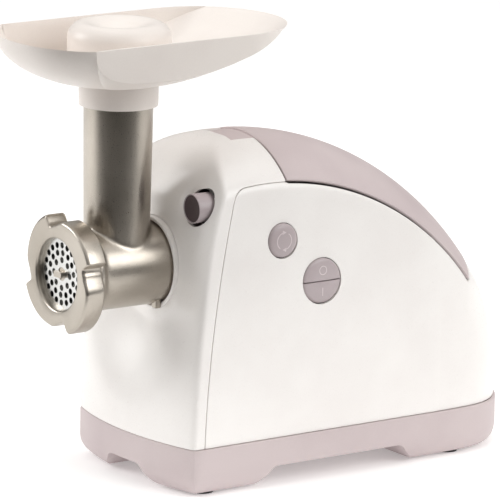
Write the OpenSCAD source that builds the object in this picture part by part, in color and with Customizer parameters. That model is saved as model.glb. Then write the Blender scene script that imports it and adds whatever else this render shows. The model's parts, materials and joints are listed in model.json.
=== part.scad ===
// Electric meat grinder: a motor unit with a gearbox, and a cast grinding head with feed tube,
// tray and pusher. Front is -Y, the control side is +X, +Z is up. The origin is at the bottom
// centre of the whole machine. Places along the machine are given from the feed tube's axis.

/* [Body] */
// Half of the body's width at its waist
body_half = 77; // [76:0.5:77.5]
// How far the body's front wall is behind the feed tube's axis
body_front = 8.7; // [8:0.1:9]
// How far the body's rear end is behind the feed tube's axis
body_rear = 336; // [334:1:338]
// Height of the seam between the base and the body
seam_z = 37; // [36.5:0.5:38]
// Thickness of the moulded walls
wall = 2.6; // [2.4:0.1:2.8]

/* [Grinding head] */
// Height of the screw's axis above the table
axis_z = 164; // [164:0.5:164.5]
// Inside radius of the barrel
barrel_r = 27; // [27:0.1:27.4]
// Outside radius of the barrel where it enters the body
barrel_outer = 31; // [30.8:0.1:31.2]
// How far the ring nut's face is in front of the feed tube's axis
nut_face = 53; // [53:0.5:54]
// Radius of the perforated plate
plate_r = 31; // [31:0.1:31.2]
// Outside radius of the feed tube at its mouth
tube_top_r = 26; // [25.8:0.1:26.2]
// Outside radius of the feed tube at the barrel
tube_foot_r = 24.6; // [24.4:0.1:24.8]

/* [Tray] */
// Height of the tray's rim above the table
rim_z = 342; // [340:1:344]
// Half of the tray's width
tray_half = 63; // [62:0.5:64]
// How far the tray's nose is in front of the feed tube's axis
tray_nose = 88; // [87:0.5:89]

/* [Screw] */
// Turns of the screw's flight
screw_turns = 3; // [2:0.5:4]
// Radius of the screw over its flight
screw_r = 26; // [25:0.1:26.2]

/* [Gears] */
// Teeth of the output gear on the screw's axis
output_teeth = 60; // [60:1:60]
// Teeth of the small wheel on the intermediate shaft
idler_small_teeth = 15; // [15:1:15]
// Teeth of the large wheel on the intermediate shaft
idler_large_teeth = 54; // [54:1:54]
// Teeth of the pinion on the motor's shaft
pinion_teeth = 12; // [12:1:12]
// Module of the slow pair of gears
slow_module = 1.25; // [1.25:0.05:1.25]
// Module of the fast pair of gears
fast_module = 1.0; // [1:0.05:1]

/* [Hidden] */

// The feed tube's axis, measured from the machine's bottom centre
tube_y = (tray_nose - body_rear) / 2;

// The body's crowned top is a ring swept about this cross axis
sweep_y = 92;
sweep_z = 5;
crown_out = 252.5;
crown_r = 88;
lid_r = 223;
// Side walls lean in on one large arc, upright at this height
side_arc_r = 1050;
side_arc_z = 70;
// The front wall bows forward on this radius
front_arc_r = 250;
front_lean = 90;
front_lean_z = 50;
front_top_z = 257;
// The rear end is round in plan
rear_arc_r = 92;
seam_gap = 0.5;
lid_gap = 1.0;
lid_front = 109.5;
tongue_front = 87;
tongue_half = 21;
lid_end_angle = 35.5;
hinge_r = 236;
hinge_at = [sweep_y + hinge_r * cos(lid_end_angle - 4.7), sweep_z + hinge_r * sin(lid_end_angle - 4.7)];
strap_x = 30;
strap_w = 7;
// Line of the front edge of the side shells
edge_foot_y = 30.3;
edge_curve = 0.00088;

// Base
foot_z = 3;
base_floor_z = 22;
foot_x = 60;
foot_front_y = 40;
foot_rear_y = 268;
foot_r = 8;

// Cord inlet at the rear
gland_at = [-42, 30];
gland_bore = 3.4;
gland_back = 329;

// Head
socket_face = 31;
socket_end = 62;
nut_depth = 17;
nut_lip = 5;
opening_r = 27;
plate_t = 5;
plate_front = -nut_face + nut_lip;
plate_back = plate_front + plate_t;
knife_back = plate_back + 7;
tube_top_z = 303;
tube_bore_r = 23;
stub_r = 5;
flat_half = 2.2;
flight_r = screw_r - 0.4;
nut_crest = 45;
nut_shelf = 41.6;
nut_valley = 37;
nut_phase = 15;
cheek_deep = 25;
cover_screw_r = 41.3;
drive_half = 7;

// Gear train
output_y = 76;
output_w = 12;
idler_y = 90;
idler_w = 8;
pressure_angle = 25;
backlash = 0.3;
slow_distance = slow_module * (output_teeth + idler_small_teeth) / 2;
fast_distance = fast_module * (idler_large_teeth + pinion_teeth) / 2;
idler_z = axis_z - slow_distance;
motor_z = idler_z - fast_distance;
box_front = 68;
box_back = 104;
cover_t = 4;
stator_front = 152;
stator_back = 200;
stator_r = 40;
armature_r = 22;
shaft_r = 4;
run_gap = 0.05;

// Storage compartment under the lid
tray_floor_z = 305;
collar_z = 287;

store_front = 124;
store_back = 262;
store_left = -48;
store_right = 30;
store_floor_z = 136;
spare_y = 196;

// Controls
reverse_at = [101, 186];
reverse_r = 13;
keys_at = [135.5, 152];
keys_r = 17.2;
button_gap = 0.4;
reverse_face = 71.4;
keys_face = 74.6;
release_at = [50, 213];
release_face = 30;
release_r = 11;

white = "#f3efea";
cream = "#efe8e3";
mauve = "#cbbfc0";
plum = "#a4979a";
cast = "#b9b7b2";
steel = "#c4c6c8";

// ---------------------------------------------------------------- helpers

// Places children by their distance behind the feed tube's axis
module behind(y) { translate([0, tube_y + y, 0]) children(); }

// Extrudes a front-view outline (across, up) from y0 back to y1
module from_front(y0, y1) {
    behind(y1) rotate([90, 0, 0]) linear_extrude(y1 - y0) children();
}

// Extrudes a side-view outline (back, up) from x0 to x1
module from_side(x0, x1) {
    translate([x0, tube_y, 0]) rotate([90, 0, 90]) linear_extrude(x1 - x0) children();
}

// Extrudes a plan outline (across, back) from z0 up to z1
module from_top(z0, z1) {
    translate([0, tube_y, z0]) linear_extrude(z1 - z0) children();
}

// A round bar along Y from y0 to y1 at [x, z]
module bar(y0, y1, r, at = [0, axis_z], r2 = undef) {
    translate([at[0], tube_y + y0, at[1]])
        rotate([-90, 0, 0])
            cylinder(h = y1 - y0, r1 = r, r2 = is_undef(r2) ? r : r2, $fn = 64);
}

// A ring along Y
module sleeve(y0, y1, r, bore, at = [0, axis_z]) {
    difference() {
        bar(y0, y1, r, at);
        bar(y0 - 1, y1 + 1, bore, at);
    }
}

// A round bar along X from x0 to x1 at [y, z]
module cross_bar(x0, x1, r, at) {
    translate([x0, tube_y + at[0], at[1]]) rotate([0, 90, 0]) cylinder(h = x1 - x0, r = r, $fn = 64);
}

// A ring of wire wound as a spring along +Z, with the number of turns given
module coil(r, wire, height, turns) {
    sides = 6;
    per_turn = 16;
    steps = turns * per_turn;
    function ring(i) =
        let (a = 360 * i / per_turn, z = wire + (height - 2 * wire) * i / steps)
        [for (k = [0 : sides - 1])
            let (b = 360 * k / sides, q = r + wire * cos(b))
            [q * cos(a), q * sin(a), z + wire * sin(b)]];
    points = [for (i = [0 : steps]) each ring(i)];
    walls = [for (i = [0 : steps - 1], k = [0 : sides - 1])
        let (n = (k + 1) % sides)
        [i * sides + k, i * sides + n, (i + 1) * sides + n, (i + 1) * sides + k]];
    start = [for (k = [sides - 1 : -1 : 0]) k];
    finish = [for (k = [0 : sides - 1]) steps * sides + k];
    polyhedron(points, concat([start], walls, [finish]));
}

// ---------------------------------------------------------------- gear teeth

function involute(base, t) = [
    base * (cos(t) + t * PI / 180 * sin(t)),
    base * (sin(t) - t * PI / 180 * cos(t))
];
function roll(base, r) = r <= base ? 0 : sqrt(pow(r / base, 2) - 1) * 180 / PI;
function polar_angle(p) = atan2(p[1], p[0]);

// Outline of a gear with a tooth on the +X axis
module gear_outline(teeth, size) {
    pitch = size * teeth / 2;
    base = pitch * cos(pressure_angle);
    tip = pitch + size * 0.95;
    root = pitch - size * 1.25;
    half_tooth = 90 / teeth - backlash / pitch * 90 / PI / 2;
    at_pitch = polar_angle(involute(base, roll(base, pitch)));
    flank = [for (s = [0 : 4])
        let (r = max(base, root) + (tip - max(base, root)) * s / 4, p = involute(base, roll(base, r)))
        [norm(p), half_tooth + at_pitch - polar_angle(p)]];
    side = concat([[root, flank[0][1] + 0.1]], flank);
    tooth = concat([for (q = side) [q[0], -q[1]]],
                   [for (i = [len(side) - 1 : -1 : 0]) side[i]]);
    polygon([for (n = [0 : teeth - 1]) for (q = tooth)
        q[0] * [cos(q[1] + n * 360 / teeth), sin(q[1] + n * 360 / teeth)]]);
}

// A gear on a shaft along Y, turned so that a tooth or a gap faces straight down
module gear(teeth, size, y0, width, z, bore, turn) {
    difference() {
        translate([0, tube_y + y0 + width, z])
            rotate([90, 0, 0])
                linear_extrude(width) rotate(turn) gear_outline(teeth, size);
        bar(y0 - 1, y0 + width + 1, bore, [0, z]);
    }
}

// ---------------------------------------------------------------- body form

function lean_at(z) =
    z <= front_lean_z ? 0
    : front_lean * (1 - pow(1 - pow((z - front_lean_z) / (front_top_z - front_lean_z), 1.6), 1 / 3));

// The swept crown, grown outwards by g
module crown_form(g) {
    behind(sweep_y) translate([0, 0, sweep_z]) rotate([0, 90, 0]) rotate_extrude($fn = 160) {
        intersection() {
            translate([crown_out - crown_r, 0]) circle(crown_r + g, $fn = 96);
            translate([0, -100]) square([400, 200]);
        }
        translate([0, -crown_r - g]) square([crown_out - crown_r, 2 * crown_r + 2 * g]);
    }
}

// The two leaning side walls
module side_form(g) {
    from_front(-20, body_rear + 30) intersection() {
        translate([body_half - side_arc_r, side_arc_z]) circle(side_arc_r + g, $fn = 360);
        translate([side_arc_r - body_half, side_arc_z]) circle(side_arc_r + g, $fn = 360);
        translate([-100, 0]) square([200, 300]);
    }
}

// The bowed, leaning front wall
module front_form(g) {
    heights = [0, for (i = [0 : 4]) front_lean_z + 18 * i, for (i = [1 : 11]) 122 + 12 * i];
    rise = [for (z = heights) [front_arc_r + g - lean_at(z), z]];
    behind(body_front + front_arc_r) rotate_extrude($fn = 180)
        polygon(concat([[0, 0]], rise, [[front_arc_r - front_lean, front_top_z + g], [0, front_top_z + g]]));
}

// The plan of the rear end
module rear_form(g) {
    from_top(0, 280) union() {
        translate([0, body_rear - rear_arc_r]) circle(rear_arc_r + g, $fn = 120);
        translate([-rear_arc_r - g, -20]) square([2 * rear_arc_r + 2 * g, body_rear - rear_arc_r + 20]);
    }
}

// The whole body above the seam, grown by g
module body_form(g) {
    intersection() {
        crown_form(g);
        side_form(g);
        front_form(g);
        rear_form(g);
    }
}

// The dished hollow in the front wall around the barrel, grown by g
module scoop(g) {
    dish = [for (s = [0 : 8]) [40 + 4.5 * s, socket_face - 22 * pow(s / 5.4, 1.7)]];
    behind(0) translate([0, 0, axis_z]) rotate([-90, 0, 0]) rotate_extrude($fn = 96)
        polygon(concat([[0, -60], [0, socket_face + g]],
                       [for (p = dish) [p[0] + g * 0.4, p[1] + g]],
                       [[dish[8][0] + g * 0.4, -60]]));
}

// The moulded wall of the whole body
module body_wall() {
    difference() {
        body_form(0);
        scoop(0);
        difference() {
            body_form(-wall);
            scoop(wall);
        }
    }
}

// How far back the side shells begin at height z
function front_edge(z) = edge_foot_y + edge_curve * pow(z - seam_z, 2);

// Side view of the side shells: behind the sloping front edge and under the lid
module side_region(g) {
    intersection() {
        polygon(concat([for (z = [seam_z - 1 : 20 : 237]) [front_edge(z) - g, z]],
                       [[400, 237], [400, seam_z - 1]]));
        union() {
            translate([sweep_y, sweep_z]) circle(lid_r + g, $fn = 180);
            translate([sweep_y, sweep_z])
                polygon([[0, 0], 400 * [cos(lid_end_angle), sin(lid_end_angle)],
                         [400, -100], [0, -100]]);
        }
    }
}

// Space taken by the lid with its front tongue, grown by g
module lid_space(g) {
    difference() {
        union() {
            from_top(100, 280) translate([-90, lid_front - g]) square([180, 260]);
            from_top(200, 280)
                translate([-tongue_half - g, tongue_front - g])
                    square([2 * tongue_half + 2 * g, 40]);
        }
        from_side(-100, 100) translate([sweep_y, sweep_z]) circle(lid_r + lid_gap - g, $fn = 180);
        from_side(-100, 100) translate([sweep_y, sweep_z])
            polygon([[0, 0], 400 * [cos(lid_end_angle), sin(lid_end_angle)] + [0, lid_gap - g],
                     [400, -100], [0, -100]]);
    }
}

// ---------------------------------------------------------------- motor unit

// Plan of the base, grown by g
module base_plan(g) {
    intersection() {
        translate([0, body_front + front_arc_r]) circle(front_arc_r + g, $fn = 180);
        translate([-body_half - 1 - g, -20]) square([2 * body_half + 2 + 2 * g, 400]);
        union() {
            translate([0, body_rear - rear_arc_r]) circle(rear_arc_r + g, $fn = 120);
            translate([-rear_arc_r - g, -20])
                square([2 * rear_arc_r + 2 * g, body_rear - rear_arc_r + 20]);
        }
    }
}

// An arched gap between two feet: a flat roof with sloping, rounded ends
module arch(half, roof) {
    polygon([[-half - 14, -1], [-half - 9, 3], [-half - 3, roof - 4], [-half + 3, roof],
             [half - 3, roof], [half + 3, roof - 4], [half + 9, 3], [half + 14, -1]]);
}

module base() {
    color(mauve) difference() {
        from_top(foot_z - 1.6, seam_z) base_plan(0);
        from_top(base_floor_z, seam_z + 1) base_plan(-wall);
        difference() {
            from_top(foot_z - 2, base_floor_z - wall) base_plan(-wall);
            for (x = [-1, 1], y = [foot_front_y, foot_rear_y])
                translate([x * foot_x, tube_y + y, 0]) cylinder(h = 30, r = foot_r + 3, $fn = 48);
        }
        from_side(-100, 100) translate([152, 0]) arch(57, 16);
        from_front(-30, body_rear + 30) arch(22, 16);
        for (x = [-1, 1], y = [foot_front_y, foot_rear_y]) {
            translate([x * foot_x, tube_y + y, foot_z - 2]) cylinder(h = 2.4, r = foot_r, $fn = 48);
            translate([x * foot_x, tube_y + y, 0]) cylinder(h = 30, r = 2.2, $fn = 32);
        }
        bar(body_rear - 20, body_rear + 5, 5.9, gland_at);
        for (i = [-5 : 5])
            translate([i * 9 - 1.5, tube_y + 150, base_floor_z - 10]) cube([3, 70, 20]);
    }
}

module rubber_feet() {
    color("#3a3838") for (x = [-1, 1], y = [foot_front_y, foot_rear_y])
        translate([x * foot_x, tube_y + y, 0]) difference() {
            cylinder(h = foot_z + 0.3, r = foot_r - 0.1, $fn = 48);
            translate([0, 0, 1.5]) cylinder(h = 5, r = 4, $fn = 32);
        }
}

module base_screws() {
    color(steel) for (x = [-1, 1], y = [foot_front_y, foot_rear_y])
        translate([x * foot_x, tube_y + y, 1.7]) {
            cylinder(h = 1.6, r = 3.6, $fn = 32);
            translate([0, 0, 1.6]) cylinder(h = 26, r = 2, $fn = 32);
        }
}

module front_housing() {
    color(white) difference() {
        body_wall();
        translate([-200, -400, 0]) cube([400, 800, seam_z + seam_gap / 2]);
        from_side(-100, 100) side_region(seam_gap / 2);
        lid_space(lid_gap / 2);
        translate([-200, tube_y + lid_front, 0]) cube([400, 400, 400]);
        bar(0, 70, 35);
        bar(0, 70, release_r + 1.2, release_at);
    }
}

module side_shell() {
    difference() {
        intersection() {
            body_wall();
            translate([0.15, -400, seam_z + seam_gap / 2]) cube([200, 800, 300]);
            from_side(0, 100) side_region(-seam_gap / 2);
        }
        from_side(strap_x - strap_w / 2 - 1, strap_x + strap_w / 2 + 1)
            translate(hinge_at) rotate(lid_end_angle) translate([-10, -5.5]) square([60, 30]);
    }
}

module side_shell_right() {
    color(white) difference() {
        side_shell();
        cross_bar(40, 90, reverse_r + button_gap, reverse_at);
        cross_bar(40, 90, keys_r + button_gap, keys_at);
    }
}

module side_shell_left() { color(white) mirror([1, 0, 0]) side_shell(); }

module shell_screws() {
    color(steel) for (x = [-1, 1], y = [60, 150, 240])
        translate([x * 66, tube_y + y, base_floor_z]) cylinder(h = 5, r = 2.4, $fn = 24);
}

module head_socket() {
    color(mauve) difference() {
        union() {
            sleeve(socket_face, socket_end, 34.7, barrel_outer + 0.35);
            difference() {
                bar(socket_end, box_front, 40);
                bar(socket_end - 1, box_front + 1, 16);
            }
        }
        for (a = [0, 120, 240])
            translate([0, tube_y, axis_z]) rotate([0, a, 0])
                translate([-6, socket_face + 6, barrel_outer - 1]) cube([12, 10, 3.2]);
    }
}

// Outline of the gearbox seen from the front, grown by g
module box_outline(g) {
    translate([0, axis_z]) circle(42 + g, $fn = 72);
    translate([0, idler_z]) circle(32 + g, $fn = 72);
    translate([0, motor_z]) circle(16 + g, $fn = 72);
    translate([-30 - g, idler_z - 6]) square([60 + 2 * g, 46]);
    translate([-16 - g, motor_z]) square([32 + 2 * g, 30]);
}

module gearbox_housing() {
    color("#8f9290") difference() {
        from_front(box_front, box_back) box_outline(3);
        from_front(box_front + 3, box_back + 1) box_outline(0);
        bar(box_front - 1, box_front + 4, 11);
        bar(box_front - 1, box_front + 4, shaft_r + run_gap, [0, idler_z]);
    }
}

module gearbox_cover() {
    color("#9a9d9b") difference() {
        union() {
            from_front(box_back, box_back + cover_t) box_outline(3);
            bar(box_back + cover_t, box_back + cover_t + 5, 16);
        }
        bar(box_back - 1, box_back + cover_t + 2, 9.05);
        bar(box_back - 1, box_back + cover_t + 1, shaft_r + run_gap, [0, idler_z]);
        bar(box_back - 1, box_back + cover_t + 1, 9, [0, motor_z]);
    }
}

module gearbox_screws() {
    color(steel) for (a = [-150, -90, -30])
        bar(box_back + cover_t, box_back + cover_t + 3, 2.8, [cover_screw_r * sin(a), axis_z + 5 + cover_screw_r * cos(a)]);
    color(steel) for (x = [-1, 1])
        bar(box_back + cover_t, box_back + cover_t + 3, 2.8, [x * 26, idler_z]);
}

module output_bearing() {
    color("#a98a52") sleeve(box_front, box_front + 5, 11, 7 + run_gap);
}

module motor_front_bearing() {
    color(steel) sleeve(box_back + cover_t + 4.5, box_back + cover_t + 11, 9, shaft_r + run_gap, [0, motor_z]);
}

module motor_rear_bearing() {
    color(steel) sleeve(252, 259, 9, shaft_r + run_gap, [0, motor_z]);
}

module motor_front_bracket() {
    color("#8f9290") difference() {
        union() {
            bar(box_back + cover_t + 4.5, box_back + cover_t + 11, 13, [0, motor_z]);
            from_front(box_back + cover_t + 7, box_back + cover_t + 11)
                translate([-36, base_floor_z]) square([72, 70]);
        }
        bar(box_back, box_back + cover_t + 20, 9.02, [0, motor_z]);
    }
}

module motor_rear_bracket() {
    color("#8f9290") difference() {
        union() {
            bar(252, 259, 13, [0, motor_z]);
            from_front(255, 259) translate([-36, base_floor_z]) square([72, 72]);
        }
        bar(250, 262, 9.02, [0, motor_z]);
    }
}

module motor_stator() {
    color("#6d6f70") difference() {
        union() {
            bar(stator_front, stator_back, stator_r, [0, motor_z]);
            from_front(stator_front, stator_back)
                translate([-30, base_floor_z]) square([60, 30]);
        }
        bar(stator_front - 1, stator_back + 1, armature_r + 0.6, [0, motor_z]);
        for (s = [-1, 1])
            from_front(stator_front - 1, stator_back + 1)
                translate([s * 27 - 7, motor_z - 12]) square([14, 24]);
    }
}

module field_windings() {
    color("#a8622f") for (s = [-1, 1])
        difference() {
            from_front(stator_front - 9, stator_back + 9)
                translate([s * 28.5 - 4.5, motor_z - 11]) square([9, 22]);
            bar(stator_front - 12, stator_back + 12, armature_r + 0.8, [0, motor_z]);
        }
}

module brush_holders() {
    color("#3c3b3a") for (s = [-1, 1])
        translate([s * 22, tube_y + 222, motor_z]) difference() {
            cube([20, 12, 13], center = true);
            cube([30, 6.4, 8.4], center = true);
        }
}

module carbon_brushes() {
    color("#2b2a2a") for (s = [-1, 1])
        translate([s * 20.6, tube_y + 222, motor_z]) cube([17, 6, 8], center = true);
}

module switch_block() {
    color("#4a4848") difference() {
        union() {
            translate([46, tube_y + 84, 132]) cube([4, 72, 70]);
            translate([33, tube_y + 112, 134]) cube([14, 42, 38]);
        }
        cross_bar(48.5, 60, 6.8, reverse_at);
    }
}

module control_board() {
    color("#3f6b4a") translate([-62, tube_y + 110, 60]) cube([1.6, 70, 60]);
}

module cord_gland() {
    color("#3a3838") difference() {
        union() {
            bar(gland_back - 14, gland_back, 5.8, gland_at);
            bar(gland_back - 17, gland_back - 12, 7.5, gland_at);
        }
        bar(gland_back - 18, gland_back + 1, gland_bore, gland_at);
    }
}

module storage_box() {
    color(mauve) difference() {
        intersection() {
            body_form(-wall - 2.2);
            translate([store_left - 2, tube_y + store_front - 2, store_floor_z - 2])
                cube([store_right - store_left + 4, store_back - store_front + 4, 140]);
        }
        translate([store_left, tube_y + store_front, store_floor_z])
            cube([store_right - store_left, store_back - store_front, 140]);
        from_side(-100, 100) difference() {
            translate([0, 120]) square([300, 200]);
            translate([sweep_y, sweep_z]) circle(lid_r + 4, $fn = 180);
        }
    }
    color(mauve) translate([-9, tube_y + spare_y, store_floor_z]) cylinder(h = 17, r = 4.6, $fn = 48);
}

// A perforated plate lying flat: rings of holes round a centre hole
module flat_plate(thick, rings) {
    difference() {
        cylinder(h = thick, r = plate_r, $fn = 96);
        translate([0, 0, -1]) cylinder(h = thick + 2, r = stub_r + run_gap, $fn = 48);
        for (ring = rings)
            for (n = [0 : ring[1] - 1])
                rotate(360 * n / ring[1] + ring[3])
                    translate([ring[0], 0, -1]) cylinder(h = thick + 2, r = ring[2], $fn = 24);
    }
}

module spare_plate_medium() {
    color(steel) translate([-9, tube_y + spare_y, store_floor_z + 0.2])
        flat_plate(plate_t, [[12, 6, 3, 0], [21.5, 12, 3, 15]]);
}

module spare_plate_coarse() {
    color(steel) translate([-9, tube_y + spare_y, store_floor_z + plate_t + 0.6])
        flat_plate(plate_t, [[17.5, 7, 5.2, 0]]);
}

module lid_hinge_bracket() {
    color("#8f9290") for (s = [-1, 1], x = [23, 37])
        from_side(s * x - 1, s * x + 1) difference() {
            union() {
                translate(hinge_at) circle(3.6, $fn = 32);
                translate([store_back + 2, hinge_at[1] - 3.6]) square([hinge_at[0] - store_back - 2, 7.2]);
            }
            translate(hinge_at) circle(1.52, $fn = 32);
        }
}

module lid_hinge_pins() {
    color(steel) for (s = [-1, 1])
        cross_bar(s * strap_x - 9, s * strap_x + 9, 1.5, hinge_at);
}

module storage_lid() {
    color(mauve) {
        intersection() {
            difference() {
                body_form(0);
                body_form(-wall);
            }
            lid_space(-lid_gap / 2);
        }
        for (s = [-1, 1])
            from_side(s * strap_x - strap_w / 2, s * strap_x + strap_w / 2) difference() {
                translate(hinge_at) rotate(lid_end_angle) union() {
                    circle(4, $fn = 48);
                    translate([-4, 0]) square([8, 28]);
                    translate([0, 21.5]) square([9.6, 6.5]);
                }
                translate(hinge_at) circle(1.5 + run_gap, $fn = 32);
            }
    }
}

// ---------------------------------------------------------------- grinding head

module head_casting() {
    color(cast) difference() {
        union() {
            bar(plate_back - 2, -nut_face + nut_depth + 6, 33.6);
            bar(-nut_face + nut_depth + 6, 0, 28.8, r2 = 29.5);
            bar(0, socket_face, 29.5, r2 = barrel_outer);
            bar(socket_face, socket_end - 1, barrel_outer);
            translate([0, tube_y, axis_z + 10])
                cylinder(h = tube_top_z - axis_z - 10, r1 = tube_foot_r, r2 = tube_top_r, $fn = 96);
            translate([15, tube_y + 22, axis_z - 32.5]) cube([6, 7, 10]);
        }
        bar(plate_back - 3, socket_end - 7, barrel_r);
        bar(plate_back - 3, plate_back, plate_r + 0.1);
        bar(socket_end - 8, socket_end + 1, 10 + run_gap);
        translate([0, tube_y, axis_z]) cylinder(h = tube_top_z, r = tube_bore_r - 1.4, $fn = 96);
        translate([0, tube_y, tube_top_z - 30]) cylinder(h = 31, r = tube_bore_r, $fn = 96);
    }
}

module perforated_plate() {
    color(steel) translate([0, tube_y + plate_back, axis_z]) rotate([90, 0, 0])
        flat_plate(plate_t, [[10.5, 8, 2.3, 0], [16, 14, 2.3, 9], [21.6, 20, 2.3, 0]]);
}

// Front view of the ring nut: four lobes, each rising slowly and ending in a step
module nut_outline() {
    rise = [for (s = [0 : 8]) [s * 7.5, nut_crest - (nut_crest - nut_shelf) * (1 - cos(s * 11.25))]];
    scallop = [for (s = [0 : 4]) [64 + s * 4, nut_valley + (nut_shelf - nut_valley) * (1 + cos(s * 45)) / 2]];
    polygon([for (n = [0 : 3]) for (p = concat(rise, scallop, [[84, nut_valley]]))
        p[1] * [cos(p[0] + n * 90 + nut_phase), sin(p[0] + n * 90 + nut_phase)]]);
}

module ring_nut() {
    color(cast) difference() {
        intersection() {
            from_front(-nut_face, -nut_face + nut_depth) translate([0, axis_z]) nut_outline();
            union() {
                bar(-nut_face, -nut_face + 3, 42, r2 = 45.2);
                bar(-nut_face + 3, -nut_face + nut_depth, 45.2);
            }
        }
        bar(-nut_face - 1, -nut_face + nut_depth + 1, opening_r);
        bar(plate_front, -nut_face + nut_depth + 1, 34);
    }
}

// Plan of the tray at its rim, drawn in by g
module tray_plan(g) {
    intersection() {
        union() {
            translate([0, -18]) circle(70 - g, $fn = 72);
            translate([-tray_half + g, -56]) square([2 * tray_half - 2 * g, 134]);
            translate([0, 74]) circle(tray_half - g, $fn = 72);
        }
        translate([-tray_half + g, -tray_nose + g]) square([2 * tray_half - 2 * g, 300]);
    }
}

// The tray as a solid form, drawn in by g and raised by g
module tray_form(g) {
    hull() {
        from_top(rim_z - 1.5, rim_z + g) tray_plan(g);
        for (x = [-1, 1])
            translate([x * (tray_half - g - 1) - 1, tube_y - 46, rim_z - cheek_deep + g]) cube([2, 62, 4]);
        translate([0, tube_y, tray_floor_z + g]) cylinder(h = 2, r = 41 - g, $fn = 64);
        translate([0, tube_y + 42, tray_floor_z + 8 + g]) cylinder(h = 2, r = 34 - g, $fn = 48);
    }
}

module hopper_tray() {
    color(cream) difference() {
        union() {
            tray_form(0);
            translate([0, tube_y, collar_z]) cylinder(h = tray_floor_z + 2 - collar_z, r = 29.5, $fn = 96);
        }
        tray_form(2.2);
        translate([0, tube_y, collar_z - 1]) cylinder(h = tube_top_z + 1.4 - collar_z, r = tube_top_r + 0.3, $fn = 96);
        translate([0, tube_y, collar_z]) cylinder(h = 40, r = tube_bore_r + 0.5, $fn = 96);
    }
}

module pusher() {
    color(cream) translate([0, tube_y, 0]) difference() {
        union() {
            translate([0, 0, 214]) cylinder(h = 96, r = tube_bore_r - 2.4, $fn = 96);
            translate([0, 0, tray_floor_z + 3]) rotate_extrude($fn = 96) {
                square([30, 40]);
                square([38.5, 29.5]);
                translate([27.5, 29.5]) circle(11, $fn = 48);
                translate([0, 20]) square([27.5, 20.5]);
            }
        }
        translate([0, 0, 213]) cylinder(h = 88, r = tube_bore_r - 5, $fn = 64);
        translate([0, 0, 342]) cylinder(h = 20, r = 22, $fn = 64);
    }
}

module pusher_cap() {
    color(cream) translate([0, tube_y, 342.1]) difference() {
        cylinder(h = 5.4, r = 21.9, $fn = 64);
        translate([0, 0, 54]) sphere(r = 53, $fn = 96);
    }
}

// ---------------------------------------------------------------- screw and drive

module auger() {
    front = knife_back + 1;
    back = socket_end - 9;
    color(cast) {
        translate([0, tube_y + back, axis_z]) rotate([90, 0, 0])
            linear_extrude(back - front, twist = 360 * screw_turns, slices = 54) {
                circle(10.5, $fn = 28);
                polygon([for (a = [-18 : 9 : 18]) flight_r * [cos(a), sin(a)],
                         for (a = [40 : -20 : -40]) 10 * [cos(a), sin(a)]]);
            }
        bar(back, socket_end + 2, 10);
        bar(knife_back - 0.1, front, 9.5);
        from_front(plate_back + 0.2, knife_back - 0.1)
            translate([-drive_half, axis_z - drive_half]) square(2 * drive_half);
        bar(plate_front + 0.5, plate_back + 0.4, stub_r);
        intersection() {
            bar(plate_front - 4, plate_front + 0.6, stub_r);
            from_front(plate_front - 4, plate_front + 0.6)
                translate([-stub_r, axis_z - flat_half]) square([2 * stub_r, 2 * flat_half]);
        }
    }
}

module knife() {
    color(steel) from_front(plate_back + 0.15, knife_back - 0.15) translate([0, axis_z]) difference() {
        union() {
            circle(12, $fn = 48);
            for (n = [0 : 3])
                rotate(90 * n) polygon([[0, -6], [25.5, -3.5], [25.5, 3], [14, 5], [0, 10]]);
        }
        square(2 * drive_half + 0.1, center = true);
    }
}

module drive_dog() {
    color("#d8d2c6") difference() {
        bar(socket_end + 0.5, box_front - 0.2, 14);
        bar(socket_end - 1, socket_end + 2.05, 10.05);
        bar(socket_end, box_front + 1, 7.02);
    }
}

module output_shaft() {
    color(steel) union() {
        bar(socket_end + 2.1, output_y + output_w + 1, 7);
        bar(output_y + output_w, box_back + cover_t + 1, 9);
    }
}

module output_gear() {
    color("#d9d3c3") gear(output_teeth, slow_module, output_y, output_w, axis_z, 7.02, 90);
}

module idler_shaft() {
    color(steel) bar(box_front + 0.2, box_back + cover_t, shaft_r, [0, idler_z]);
}

module idler_small_gear() {
    color(steel) gear(idler_small_teeth, slow_module, output_y - 1, output_w + 2, idler_z, shaft_r + 0.02,
                      90 + 180 / idler_small_teeth);
}

module idler_large_gear() {
    color("#d9d3c3") gear(idler_large_teeth, fast_module, idler_y + 0.5, idler_w, idler_z, shaft_r + 0.02, -90);
}

module motor_shaft() {
    color(steel) {
        bar(idler_y - 2, box_back + cover_t + 1, 3, [0, motor_z]);
        bar(box_back + cover_t + 1, 264, shaft_r, [0, motor_z]);
    }
}

module motor_pinion() {
    color(steel) gear(pinion_teeth, fast_module, idler_y - 1, idler_w + 3, motor_z, 3.02, 90 + 180 / pinion_teeth);
}

module armature() {
    color("#7b5a3c") difference() {
        union() {
            bar(stator_front, stator_back, armature_r, [0, motor_z]);
            bar(stator_front - 8, stator_back + 8, 17, [0, motor_z]);
        }
        bar(stator_front - 20, stator_back + 20, shaft_r + 0.02, [0, motor_z]);
        for (n = [0 : 11])
            translate([0, tube_y + stator_front - 1, motor_z]) rotate([0, 30 * n, 0])
                translate([-1, 0, armature_r - 3]) cube([2, stator_back - stator_front + 2, 6]);
    }
}

module commutator() {
    color("#b87333") difference() {
        bar(213, 231, 11.6, [0, motor_z]);
        bar(210, 235, shaft_r + 0.02, [0, motor_z]);
        for (n = [0 : 23])
            translate([0, tube_y + 212, motor_z]) rotate([0, 15 * n, 0])
                translate([-0.4, 0, 10.4]) cube([0.8, 20, 3]);
    }
}

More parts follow.
